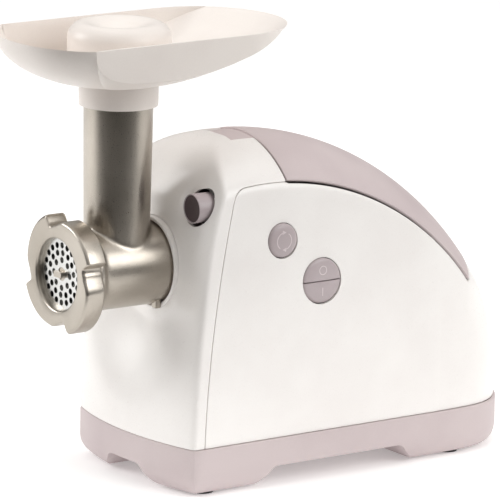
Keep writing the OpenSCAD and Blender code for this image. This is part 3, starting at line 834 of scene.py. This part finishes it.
@dataclass
class StorageLid(Part):
    """The crowned lid over the rear, with a thumb tongue at its front and two hinge straps."""

    home: ClassVar[Home] = Home(MAUVE_ABS, "lid", "mauve_plastic", "storage_lid")
    wall: float = 2.6
    columns: int = 72
    rows: int = 110
    proud: float = 0.5
    strap_x: float = 30.0
    pin_r: float = 1.56
    tongue_half: float = 20.9
    tongue_wall: float = 2.4

    def crown_point(self, x: float, angle: float, sunk: float = 0.0) -> Point:
        """Places a point on the crown at x and an angle, sunk below it."""
        r = FORM.crown_at(x, angle) + self.proud - sunk
        return LAYOUT.at(x, FORM.sweep[0] + r * math.cos(angle), FORM.sweep[1] + r * math.sin(angle))

    def build(self) -> Piece:
        """Builds the lid, its tongue and its straps as one piece."""
        last = math.radians(FORM.lid_end + 0.4)

        def place(column: int, row: int) -> Point:
            """Gives a point of the outer skin."""
            share = 2 * column / self.columns - 1
            share = math.copysign(1 - (1 - abs(share)) ** 1.25, share)
            angle = mix(last, math.radians(86.0), row / self.rows)
            for _ in range(3):
                reach = last_inside(lambda x: FORM.crown_at(x, angle) > FORM.lid_r + 0.9, 0.0, 90.0, 20)
                ahead = FORM.lid_front + 0.6 - FORM.sweep[0]
                first = math.acos(ahead / FORM.crown_at(share * reach, angle))
                angle = mix(last, first, row / self.rows)
            return self.crown_point(share * reach, angle)

        shell = surface("storage_lid_skin", self.columns, self.rows, place)
        face_away(shell, LAYOUT.at(0, 120, 60))
        thicken(shell, self.wall, use_even_offset=True)
        round_edges(shell, 0.7, 3, 50)

        def tongue_place(column: int, row: int) -> Point:
            """Gives a point of the tongue, which slopes below the crown towards its tip."""
            x = mix(-self.tongue_half, self.tongue_half, column / 16)
            angle = math.radians(mix(84.6, 91.0, row / 10))
            return self.crown_point(x, angle, 0.9 + self.tongue_wall * row / 10)

        tongue = surface("tongue", 16, 10, tongue_place)
        face_away(tongue, LAYOUT.at(0, 120, 60))
        thicken(tongue, self.tongue_wall)
        round_edges(tongue, 0.6, 2, 50)
        parts = [shell, tongue, *(self.strap(side) for side in (-1, 1))]
        piece = join("storage_lid_skin", parts)
        smooth(piece, 40)
        return piece

    def strap(self, side: int) -> Piece:
        """Builds a hinge strap from its eye up under the lid's rear edge."""
        _, y, z = joint_place("storage_lid_hinge")
        line = math.radians(FORM.lid_end)
        out, up = (math.cos(line), math.sin(line)), (-math.sin(line), math.cos(line))
        outline = arc_points((0, 0), 4.0, 180, 360, 14)
        outline += [(4.0, 18.5), (9.4, 22.0), (9.4, 28.0), (-4.0, 28.0)]

        def place(p: Flat, depth: float) -> Point:
            """Turns the outline to stand along the lid."""
            return (side * self.strap_x + depth, y + out[0] * p[0] + up[0] * p[1],
                    z + out[1] * p[0] + up[1] * p[1])

        strap = prism("strap", outline, place, (-3.5, 3.5))
        drill(strap, Axis.X, (side * self.strap_x, y, z), self.pin_r, (-5, 5), 32)
        round_edges(strap, 0.5, 2, 50)
        return strap


@dataclass
class Base(Part):
    """The lower moulding with four rounded feet and arched gaps between them."""

    home: ClassVar[Home] = Home(MAUVE_ABS, "motor_unit", "mauve_plastic", "base")
    floor_z: float = 22.0
    foot_z: float = 1.6
    sides: int = 300
    arch_roof: float = 16.0
    seat_r: float = 8.0
    inlet_r: float = 5.9

    def outline(self, inset: float) -> list[Flat]:
        """Lists the plan outline, drawn in by an inset, with softened front corners."""
        half = LAYOUT.body_half + 1.0
        points = []
        for i in range(self.sides):
            turn = 2 * math.pi * i / self.sides
            way = (math.sin(turn), math.cos(turn))

            def inside(t: float) -> bool:
                """Tells whether a distance along the ray is within the plan."""
                x, y = way[0] * t, 160 + way[1] * t
                side = abs(x) - half + inset
                front = math.hypot(x, y - FORM.front - FORM.front_arc) - FORM.front_arc + inset
                rear = math.hypot(x, y - LAYOUT.rear + FORM.rear_r) - FORM.rear_r + inset
                end = front if y < 160 else (rear if y > LAYOUT.rear - FORM.rear_r else -99.0)
                return smooth_max(side, end, 1.6 if y < 160 else 14.0) < 0

            t = last_inside(inside, 0.0, 260.0)
            points.append((way[0] * t, 160 + way[1] * t))
        return points

    def stack(self, name: str, levels: Sequence[Flat]) -> Piece:
        """Stacks plan outlines, each with its inset and height, into a closed solid."""
        rings = [self.outline(inset) for inset, _ in levels]

        def place(column: int, row: int) -> Point:
            """Gives a point of the stack."""
            x, y = rings[row][column % self.sides]
            return LAYOUT.at(x, y, levels[row][1])

        piece = surface(name, self.sides, len(levels) - 1, place)
        close_ends(piece)
        return piece

    def arch(self, half: float) -> list[Flat]:
        """Lists the outline of an arched gap with rounded shoulders and flared feet."""
        roof = self.arch_roof
        right = [(half, roof)] + arc_points((half, roof - 9), 9.0, 90, 25, 6)
        right += arc_points((half + 23, 6.2), 7.0, 205, 262, 6) + [(half + 23.5, -4)]
        left = [(-x, z) for x, z in reversed(right)]
        return right + left

    def build(self) -> Piece:
        """Builds the base, hollow above its floor."""
        rounding = [(11 - 11 * math.sin(math.radians(a)), self.foot_z + 15 - 15 * math.cos(math.radians(a)))
                    for a in range(18, 91, 9)]
        wall = [(0, 26), (0, LAYOUT.seam_z - 0.6), (0.6, LAYOUT.seam_z)]
        piece = self.stack("base_moulding", rounding + wall)
        side_arch = prism("arch", self.arch(55.0), lambda p, d: LAYOUT.at(d, 152 + p[0], p[1]), (-110, 110))
        cut(piece, side_arch)
        end_arch = prism("arch", self.arch(15.0), lambda p, d: LAYOUT.at(p[0], d, p[1]), (-40, 380))
        cut(piece, end_arch)
        round_edges(piece, 1.2, 3, 38)
        cut(piece, self.stack("hollow", [(2.6, self.floor_z), (2.6, LAYOUT.seam_z + 4)]))
        for x in (-60, 60):
            for y in (40, 268):
                drill(piece, Axis.Z, LAYOUT.at(x, y, 0), self.seat_r, (-2, 3.4), 48)
        drill(piece, Axis.Y, LAYOUT.at(-42, 0, 30), self.inlet_r, (318, 350), 48)
        smooth(piece, 38)
        return piece


# ------------------------------------------------------------------ tray and pusher


@dataclass
class HopperTray(Part):
    """The tray: a scoop with upright cheeks, a bowed nose and a collar over the feed tube."""

    home: ClassVar[Home] = Home(CREAM_PP, "tray", "white_plastic", "hopper_tray")
    half: float = 63.0
    shoulder: float = -62.0
    nose: float = 92.5
    rear_centre: float = 74.0
    cheek: float = 27.3
    cheek_peak: float = 64.0
    cheek_length: float = 174.0
    floor_z: float = 305.0
    collar_r: float = 29.5
    collar_z: float = 287.0
    wall: float = 2.2

    def outline(self) -> list[Flat]:
        """Lists one half of the rim's plan from the middle of the nose to the rearmost point."""
        nose = []
        for i in range(31):
            across = math.sin(math.radians(3 * i))
            bow = (self.nose + self.shoulder) * (1 - across**2.4) ** 0.85
            nose.append((self.half * across, self.shoulder - bow))
        steps = (0.4, 1.0, 1.9, 3.2, 5.0, 7.5, 11, 16, 22, 30, 40, 52, 64, 76, 88, 99, 110, 121)
        side = [(self.half, self.shoulder + step) for step in steps]
        return nose + side + arc_points((0, self.rear_centre), self.half, 0, 90, 34)

    def cheek_depth(self, y: float) -> float:
        """Returns how deep the upright cheek is at a place along the side."""
        along = y - self.shoulder
        if along <= 0 or along >= self.cheek_length:
            return 0.0
        if along < self.cheek_peak:
            return self.cheek * (1 - (1 - along / self.cheek_peak) ** 3) ** (1 / 3)
        return self.cheek * (1 - ((along - self.cheek_peak) / (self.cheek_length - self.cheek_peak)) ** 2)

    def build(self) -> Piece:
        """Builds the tray and its collar as one moulding."""
        half = self.outline()
        rim = half + [(-x, y) for x, y in reversed(half[1:-1])] + [half[0]]
        cheek_rows, bowl_rows = 5, 30
        height = LAYOUT.rim_z - self.floor_z
        skirt = [(self.collar_r + 0.9, self.floor_z - 0.35), (self.collar_r + 0.25, self.floor_z - 1.1),
                 (self.collar_r, self.floor_z - 2.2), (self.collar_r, self.collar_z + 5),
                 (self.collar_r - 0.1, self.collar_z)]

        def place(column: int, row: int) -> Point:
            """Gives a point of the outer skin, from the rim down to the collar's foot."""
            x, y = rim[column]
            reach = math.hypot(x, y)
            way = (x / reach, y / reach)
            depth = max(self.cheek_depth(y), 0.05)
            if row <= cheek_rows:
                return LAYOUT.at(x, y, LAYOUT.rim_z - depth * row / cheek_rows)
            if row <= cheek_rows + bowl_rows:
                share = (row - cheek_rows) / bowl_rows
                power = mix(1.3, 1.85, min(max((self.rear_centre - y) / 110, 0.0), 1.0))
                edge = (1 - (depth / height) ** power) ** (1 / power)
                turn = mix(math.acos(edge ** (power / 2)), math.pi / 2, share)
                spread = math.cos(turn) ** (2 / power)
                drop = height * math.sin(turn) ** (2 / power)
                foot = self.collar_r + 1.9
                out = foot + (reach - foot) * spread / edge
                return LAYOUT.at(way[0] * out, way[1] * out, LAYOUT.rim_z - drop)
            out, z = skirt[row - cheek_rows - bowl_rows - 1]
            return LAYOUT.at(way[0] * out, way[1] * out, z)

        piece = surface("hopper_tray_moulding", len(rim) - 1, cheek_rows + bowl_rows + len(skirt), place)
        face_away(piece, LAYOUT.at(0, 0, 400))
        thicken(piece, self.wall, use_even_offset=True, thickness_clamp=1.0)
        round_edges(piece, 0.7, 3, 55)
        smooth(piece, 30)
        return piece


@dataclass
class Pusher:
    """The pusher: a hollow stem under a round-shouldered knob with a dished cap."""

    stem_r: float = 20.6
    knob_r: float = 38.5
    foot_z: float = 214.0
    knob_z: float = 308.4
    cap_r: float = 15.5

    def dip(self, r: float, top: float) -> float:
        """Returns the height of the smooth hollow in the knob's top at a radius."""
        return top - 8.0 * math.cos(math.pi / 2 * min(r / 27.0, 1.0)) ** 1.6

    def build(self) -> list[Piece]:
        """Builds the pusher and its cap."""
        top = LAYOUT.rim_z + 6.5
        shoulder = 11.5
        profile = [(0, 300)]
        profile += near((self.stem_r, 300), (-2.8, 0), (-2.6, -1))
        profile += near((self.stem_r, self.foot_z), (-2.6, 0.6), (-2, 0), (-0.6, 0), (0, 0.8))
        profile += near((self.stem_r, self.knob_z), (0, -0.4), (0.4, 0))
        profile += near((self.knob_r, self.knob_z), (-1.6, 0), (-0.4, 0.5), (0, 1.6))
        profile += [(self.knob_r, top - shoulder - 6)]
        profile += arc_points((self.knob_r - shoulder, top - shoulder), shoulder, 0, 84, 14)
        profile += [(r, self.dip(r, top)) for r in (25.5, 24.0, 22.0, 20.0, 18.0, self.cap_r + 0.8)]
        profile += near((self.cap_r + 0.12, self.dip(self.cap_r, top)), (0, -0.15))
        profile += [(self.cap_r + 0.12, top - 9), (0, top - 9)]
        knob = turned("pusher_moulding", profile, Axis.Z, LAYOUT.at(0, 0, 0), 128)
        dish = [(self.cap_r * s / 12, self.dip(self.cap_r * s / 12, top)) for s in range(13)]
        cap_profile = dish + [(self.cap_r, top - 8.7), (0, top - 8.8)]
        cap = turned("pusher_cap_disc", cap_profile, Axis.Z, LAYOUT.at(0, 0, 0), 128)
        return [knob, cap]

    def dress(self, pieces: Sequence[Piece]) -> None:
        """Gives the pusher and its cap their finish and their place in the machine."""
        for piece, node in zip(pieces, ("pusher", "pusher_cap")):
            Home(CREAM_PP, "pusher", "white_plastic", node).dress(piece)


# ------------------------------------------------------------------ grinding head


@dataclass
class GrindingHead(Part):
    """The cast head: a barrel with a feed tube standing on it."""

    home: ClassVar[Home] = Home(CAST_ALUMINIUM, "head", "cast_aluminium", "head_casting")
    barrel_r: float = 27.0
    plate_back: float = -43.0
    face: float = -53.0
    nut_depth: float = 17.0
    tube_top: float = 303.0

    def build(self) -> Piece:
        """Builds the casting with a filleted joint between barrel and tube."""
        axis = LAYOUT.at(0, 0, LAYOUT.axis_z)
        thread_end = self.face + self.nut_depth + 6
        barrel = turned("head_casting_body", [
            (0, self.plate_back - 2), (33.0, self.plate_back - 2), (33.6, self.plate_back - 1),
            (33.6, thread_end - 1.5), (32.5, thread_end), (31.2, thread_end + 1.2), (30.7, thread_end + 3.5),
            (30.7, -8.0), (31.0, 27.0), (31.0, 60.5), (30.4, 61.0), (0, 61.0),
        ], Axis.Y, axis, 144)
        tube = turned("tube", [
            (0, 174), (24.4, 174), (24.7, 195), (25.2, 230), (25.8, 280), (26.0, self.tube_top - 0.8),
            (25.4, self.tube_top), (0, self.tube_top),
        ], Axis.Z, LAYOUT.at(0, 0, 0), 144)
        cut(barrel, tube, "UNION")
        finish_modifier(barrel, "REMESH", mode="VOXEL", voxel_size=1.0 * MM, adaptivity=0.0)
        finish_modifier(barrel, "CORRECTIVE_SMOOTH", factor=0.5, iterations=12, use_only_smooth=True)
        _, _, z = axis
        lug = slab("lug", LAYOUT.at(12.0, 24, z - 31.6), LAYOUT.at(17.5, 29.0, z - 24))
        round_edges(lug, 0.8, 2)
        cut(barrel, lug, "UNION")
        back, r = self.plate_back, self.barrel_r
        bore = [(0, back - 4), (31.2, back - 4), (31.2, back), (r, back)]
        bore += [(r, 55), (10.06, 55), (10.06, 64), (0, 64)]
        cut(barrel, turned("bore", bore, Axis.Y, axis, 96))
        throat = [(0, z), (21.8, z), (22.6, 250), (23.2, 310), (0, 310)]
        cut(barrel, turned("throat", throat, Axis.Z, LAYOUT.at(0, 0, 0), 96))
        smooth(barrel, 40)
        return barrel


@dataclass
class RingNut(Part):
    """The ring nut: four lobes that rise slowly and end in a step, to grip by hand."""

    home: ClassVar[Home] = Home(CAST_ALUMINIUM, "nut", "cast_aluminium", "ring_nut")
    face: float = -53.0
    depth: float = 17.0
    opening: float = 27.0
    bore: float = 34.0
    lip: float = 5.0
    valley: float = 37.0
    shelf: float = 41.6
    crest: float = 45.0
    phase: float = 21.0
    sides: int = 480

    def rim(self, degrees: float) -> float:
        """Returns the outer radius in a direction: a step in at each crest, then a slow rise."""
        turn = (self.phase - degrees) % 90
        if turn < 4.5:
            return mix(self.crest, self.valley, (1 - math.cos(math.pi * turn / 4.5)) / 2)
        if turn < 12:
            return self.valley - 0.5 * math.sin(math.pi * (turn - 4.5) / 7.5)
        if turn < 34:
            return mix(self.valley, self.shelf, (1 - math.cos(math.pi * (turn - 12) / 22)) / 2)
        return mix(self.shelf, self.crest, math.sin(math.pi / 2 * (turn - 34) / 56))

    def build(self) -> Piece:
        """Builds the nut as one closed ring."""
        front, back = self.face, self.face + self.depth

        def section(degrees: float) -> list[Flat]:
            """Lists radius and place of the ring's section in a direction."""
            rim = self.rim(degrees)
            profile = near((self.opening, front), (0, self.lip), (0, 1.6), (0.5, 0.5), (1.6, 0))
            profile += near((rim, front), (-3.4, 0), (-2.6, 0.08))
            profile += arc_points((rim - 2.6, front + 2.6), 2.6, -75, 0, 5)
            profile += near((rim, back), (0, -2), (-0.3, -0.9), (-1.2, 0))
            profile += near((self.bore, back), (1.2, 0), (0, -1.2))
            profile += near((self.bore, front + self.lip), (0, 0.6), (-0.6, 0))
            return profile + [profile[0]]

        sections = [section(i * 360 / self.sides) for i in range(self.sides)]

        def place(column: int, row: int) -> Point:
            """Gives a point of the ring."""
            turn = 2 * math.pi * column / self.sides
            radius, y = sections[column % self.sides][row]
            return LAYOUT.at(radius * math.cos(turn), y, LAYOUT.axis_z + radius * math.sin(turn))

        piece = surface("ring_nut_casting", self.sides, len(sections[0]) - 1, place)
        recalculate(piece)
        smooth(piece, 42)
        return piece


@dataclass
class SocketRing(Part):
    """The raised lip of the front housing round the barrel."""

    home: ClassVar[Home] = Home(WHITE_ABS, "motor_unit", "white_plastic")
    inner: float = 32.2
    outer: float = 34.9

    def build(self) -> Piece:
        """Builds the rounded lip."""
        profile = [(self.inner, 38.0), (self.inner, 30.0), (self.inner + 0.6, 29.3), (self.outer - 1.0, 29.3)]
        profile += [(self.outer - 0.3, 29.7), (self.outer, 30.5), (self.outer, 36.0), (self.outer - 1, 38.0)]
        profile += [(self.inner, 38.0)]
        return turned("socket_lip", profile, Axis.Y, LAYOUT.at(0, 0, LAYOUT.axis_z), 144)


# ------------------------------------------------------------------ controls


@dataclass
class ReverseSpring(Part):
    """The return spring behind the reverse button, which shortens as the button goes in."""

    home: ClassVar[Home] = Home(GROUND_STEEL, "motor_unit", "bright_steel", "reverse_spring")
    foot: float = 48.6
    length: float = 13.3
    radius: float = 6.0
    wire_r: float = 0.5
    turns: int = 5
    travel: float = 3.0
    steps: int = 28
    sides: int = 8

    def build(self) -> Piece:
        """Builds the coil as a tube swept along a helix, with its ends drawn to a point."""
        last = self.turns * self.steps

        def place(column: int, row: int) -> Point:
            """Gives a point on the wire's skin."""
            turn, around = 2 * math.pi * column / self.steps, 2 * math.pi * row / self.sides
            thick = 0.0 if column in (0, last) else self.wire_r
            out = self.radius + thick * math.cos(around)
            along = self.foot + self.wire_r + (self.length - 2 * self.wire_r) * column / last
            y, z = FORM.reverse
            x = along + thick * math.sin(around)
            return LAYOUT.at(x, y + out * math.cos(turn), z + out * math.sin(turn))

        piece = surface("reverse_spring_coil", last, self.sides, place)
        recalculate(piece)
        smooth(piece)
        return piece

    def dress(self, piece: Piece) -> None:
        """Gives the spring its finish and its place in the machine, on a mesh of its own."""
        super().dress(piece)
        anchor = Vector(LAYOUT.at(self.foot, *FORM.reverse)) * MM
        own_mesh(piece)


@dataclass
class Controls:
    """The reverse button, the two half-round keys and the release button, with their marks."""

    reverse_r: float = 13.0
    reverse_face: float = 72.4
    keys_r: float = 17.2
    keys_face: float = 74.6
    release_face: float = 34.5
    release_r: float = 11.0

    def mark(self, name: str, outline: Sequence[Flat], centre: Flat, face: float) -> Piece:
        """Builds a thin printed mark standing just proud of a key's face."""
        y, z = centre
        return prism(name, outline, lambda p, d: LAYOUT.at(face + d, y + p[0], z + p[1]), (-0.4, 0.15))

    def ring_outline(self, radius: float, width: float, start: float, end: float, steps: int) -> list[Flat]:
        """Lists the outline of an arc-shaped band."""
        outer = arc_points((0, 0), radius + width / 2, start, end, steps)
        inner = arc_points((0, 0), radius - width / 2, end, start, steps)
        return outer + inner

    def reverse_button(self) -> Piece:
        """Builds the reverse button with its domed face."""
        r, face = self.reverse_r, self.reverse_face
        profile = [(0, 62)]
        profile += near((r, 0), (-3, 62), (-3, 56.2), (1.4, 56.2), (1.6, 56.6), (1.6, 59.6), (0, 60))
        profile += near((r, face), (0, -3), (-0.3, -1.8), (-1.1, -0.8), (-2.6, -0.2))
        profile += [(r * 0.6, face + 0.15), (r * 0.3, face + 0.22), (0, face + 0.25)]
        return turned("reverse_button_cap", profile, Axis.X, LAYOUT.at(0, *FORM.reverse), 96)

    def half_key(self, name: str, side: int) -> Piece:
        """Builds one half-round key; side is one for the upper key."""
        r, face = self.keys_r, self.keys_face
        profile = [(0, 68), (r - 3, 68), (r - 3, 54.2), (r, 54.2)]
        profile += near((r, face), (0, -2.4), (-0.3, -1.3), (-1.1, -0.5), (-2.4, -0.1))
        profile += [(r * 0.5, face + 0.3), (0, face + 0.4)]
        piece = turned(name, profile, Axis.X, LAYOUT.at(0, *FORM.keys), 96)
        y, z = FORM.keys
        low, high = (z - 30, z + 0.45) if side > 0 else (z - 0.45, z + 30)
        cut(piece, slab("half", LAYOUT.at(40, y - 30, low), LAYOUT.at(90, y + 30, high)))
        round_edges(piece, 0.5, 2, 45)
        smooth(piece, 40)
        return piece

    def release_button(self) -> Piece:
        """Builds the release button with its hollowed end."""
        r, face = self.release_r, self.release_face
        profile = [(0, face + 2.4)]
        profile += near((r, face), (-1, 2.4), (-0.9, 0.4), (-0.6, 0), (-0.2, 0.2), (0, 0.9))
        profile += [(r, 56), (r - 2.5, 56), (r - 2.5, 48), (0, 48)]
        return turned("release_button_cap", profile, Axis.Y, FORM.release_centre(), 96)

    def release_shade_inlay(self) -> Piece:
        """Builds the lightly dished inlay in the release button's end, made dark as painted shade for the
        shadowed recess.
        """
        r, face = self.release_r - 1.15, self.release_face
        profile = [(0, face + 1.5), (r * 0.5, face + 1.2)]
        profile += near((r, face), (-1, 0.7), (0, 0.6), (0, 2.2), (-r, 2.2))
        return turned("release_shade_inlay", profile, Axis.Y, FORM.release_centre(), 96)

    def release_shadow_sleeve(self) -> Piece:
        """Builds the black sleeve round the hole the release button works in, a dark sheet that paints the
        shade inside the hole.
        """
        profile = [(13.65, 47.5), (13.65, 62), (15.0, 62), (15.0, 49.5), (13.65, 47.5)]
        return turned("release_shadow_sleeve", profile, Axis.Y, FORM.release_centre(), 96)

    def build(self) -> list[tuple[Piece, Finish, str, str | None]]:
        """Builds every control; each row gives a piece, its finish, its body and its node."""
        arrow_r = 6.4
        sweep = self.ring_outline(arrow_r, 0.7, 100, 235, 20)
        sweep_two = self.ring_outline(arrow_r, 0.7, -80, 55, 20)
        head = [(-1.9, 5.0), (1.6, 6.5), (-1.6, 8.2)]
        head_two = [(1.9, -5.0), (-1.6, -6.5), (1.6, -8.2)]
        on_face = self.reverse_face + 0.18
        marks = [self.mark(f"reverse_mark_{n}", shape, FORM.reverse, on_face)
                 for n, shape in enumerate((sweep, sweep_two, head, head_two))]
        reverse_mark = join("reverse_mark", marks)
        y, z = FORM.keys
        on_key_face = self.keys_face + 0.28
        halves = [self.ring_outline(3.2, 0.65, start, start + 180, 20) for start in (0, 180)]
        rings = [self.mark("off_ring", half, (y, z + 8.2), on_key_face) for half in halves]
        off_mark = join("off_mark", rings)
        bar = [(-0.35, -3.2), (0.35, -3.2), (0.35, 3.2), (-0.35, 3.2)]
        on_mark = self.mark("on_mark", bar, (y, z - 8.2), on_key_face)
        return [
            (self.reverse_button(), PLUM_ABS, "reverse", "reverse_button"),
            (reverse_mark, PALE_INK, "reverse", None),
            (self.half_key("off_key_cap", 1), PLUM_ABS, "off", "off_key"),
            (off_mark, PALE_INK, "off", None),
            (self.half_key("on_key_cap", -1), PLUM_ABS, "on", "on_key"),
            (on_mark, PALE_INK, "on", None),
            (self.release_button(), PLUM_ABS, "release", "release_button"),
            # The inlay is a dark piece that paints the shade in the release button's end.
            (self.release_shade_inlay(), SHADE_DARK_ABS, "release", None),
            # The black sleeve is a dark sheet that paints the shade inside the release button's hole.
            (self.release_shadow_sleeve(), BLACK_NYLON, "motor_unit", None),
        ]

    def dress(self, rows: Sequence[tuple[Piece, Finish, str, str | None]]) -> None:
        """Gives each control its finish and its place in the machine."""
        for piece, finish, body, node in rows:
            Home(finish, body, "button_plastic", node).dress(piece)


# ------------------------------------------------------------------ scene


@dataclass(frozen=True)
class Studio:
    """A pale floor, soft light and the camera."""

    azimuth: float = 54.58
    elevation: float = 12.74
    distance: float = 3.9
    lens: float = 372.6
    roll: float = 1.2
    shift: Flat = (0.0024, -0.045)
    target: Point = (0.0, 120.0, 180.0)
    floor_size: float = 12.0
    floor_front: float = 0.42
    low_sky: tuple[float, float, float, float] = (0.10, 0.095, 0.09, 1.0)
    high_sky: tuple[float, float, float, float] = (1.0, 0.985, 0.965, 1.0)
    sky_strength: float = 0.7

    def back_vector(self) -> Vector:
        """Returns the direction from the target to the camera."""
        a, e = math.radians(self.azimuth), math.radians(self.elevation)
        return Vector((math.sin(a) * math.cos(e), -math.cos(a) * math.cos(e), math.sin(e)))

    def camera(self) -> None:
        """Adds the camera and makes it the scene's."""
        target = Vector(LAYOUT.at(*self.target)) * MM
        back = self.back_vector()
        data = bpy.data.cameras.new("camera")
        data.lens = self.lens
        data.sensor_width = 36.0
        data.shift_x, data.shift_y = self.shift
        data.clip_end = 50.0
        camera = bpy.data.objects.new("camera", data)
        bpy.context.collection.objects.link(camera)
        turn = back.to_track_quat("Z", "Y").to_euler()
        camera.rotation_euler = turn
        camera.rotation_euler.rotate_axis("Z", math.radians(self.roll))
        camera.location = target + back * self.distance
        bpy.context.scene.camera = camera

    def floor(self) -> None:
        """Adds the pale floor, which ends a little in front of the machine on the camera's side."""
        back = self.back_vector()
        turn = math.atan2(back.y, back.x)
        middle = self.floor_front - self.floor_size / 2
        bpy.ops.object.select_all(action="DESELECT")
        bpy.ops.mesh.primitive_plane_add(size=self.floor_size, rotation=(0, 0, turn),
                                         location=(middle * math.cos(turn), middle * math.sin(turn), 0))
        bpy.ops.object.transform_apply(location=True, rotation=True, scale=True)
        floor = bpy.context.object
        floor.name = "studio_floor"
        Finish("studio_floor_paper", "#FFFFFF", "#FBFAF9", 0.9, 0.02, 40.0, 0.0, patch_mm=400.0,
               glow=0.2).dress(floor)

    def lamp(self, name: str, place: Point, size: float, power: float) -> None:
        """Adds a square area lamp facing the machine."""
        data = bpy.data.lights.new(name, "AREA")
        data.shape = "RECTANGLE"
        data.size = data.size_y = size
        data.energy = power
        lamp = bpy.data.objects.new(name, data)
        bpy.context.collection.objects.link(lamp)
        lamp.location = place
        lamp.rotation_euler = (Vector(place) - Vector((0, 0, 0.15))).to_track_quat("Z", "Y").to_euler()

    def lights(self) -> None:
        """Adds the lamps and a sky that is bright overhead and dimmer low down."""
        self.lamp("key", (-1.7, -1.8, 1.2), 1.1, 27.0)
        self.lamp("fill", (2.1, 1.0, 1.5), 1.5, 24.0)
        self.lamp("top", (0.2, 0.3, 2.6), 2.2, 18.0)
        world = bpy.data.worlds.new("studio")
        bpy.context.scene.world = world
        world.use_nodes = True
        tree = world.node_tree
        shader = tree.nodes["Background"]
        place = add_node(tree, "ShaderNodeTexCoord")
        parts = add_node(tree, "ShaderNodeSeparateXYZ", links={"Vector": place.outputs["Generated"]})
        sky = add_ramp(tree, parts.outputs["Z"], ((0.05, self.low_sky), (0.55, self.high_sky)))
        tree.links.new(sky, shader.inputs["Color"])
        shader.inputs["Strength"].default_value = self.sky_strength

    def build(self) -> None:
        """Sets the whole stage."""
        self.camera()
        self.floor()
        self.lights()
        bpy.context.scene.view_settings.view_transform = "Standard"


def dress_frame() -> None:
    """Gives every CAD node the finish of its material slot."""
    for part in frame["record"]["subparts"]:
        CAD_FINISHES[part["material_slot"]].dress_cad(part["node"])


def main() -> None:
    """Builds the stage and every piece, and reports each one."""
    logging.basicConfig(level=logging.INFO, format="%(message)s")
    Studio().build()
    dress_frame()
    parts = (FrontHousing(), SideShell(1), SideShell(-1), StorageLid(), Base(), HopperTray(), Pusher(),
             GrindingHead(), RingNut(), SocketRing(), ReverseSpring(), Controls())
    for part in parts:
        made = part.build()
        part.dress(made)
        LOG.info("built %s", type(part).__name__)
    bpy.ops.object.select_all(action="DESELECT")


if __name__ == "__main__":
    main()
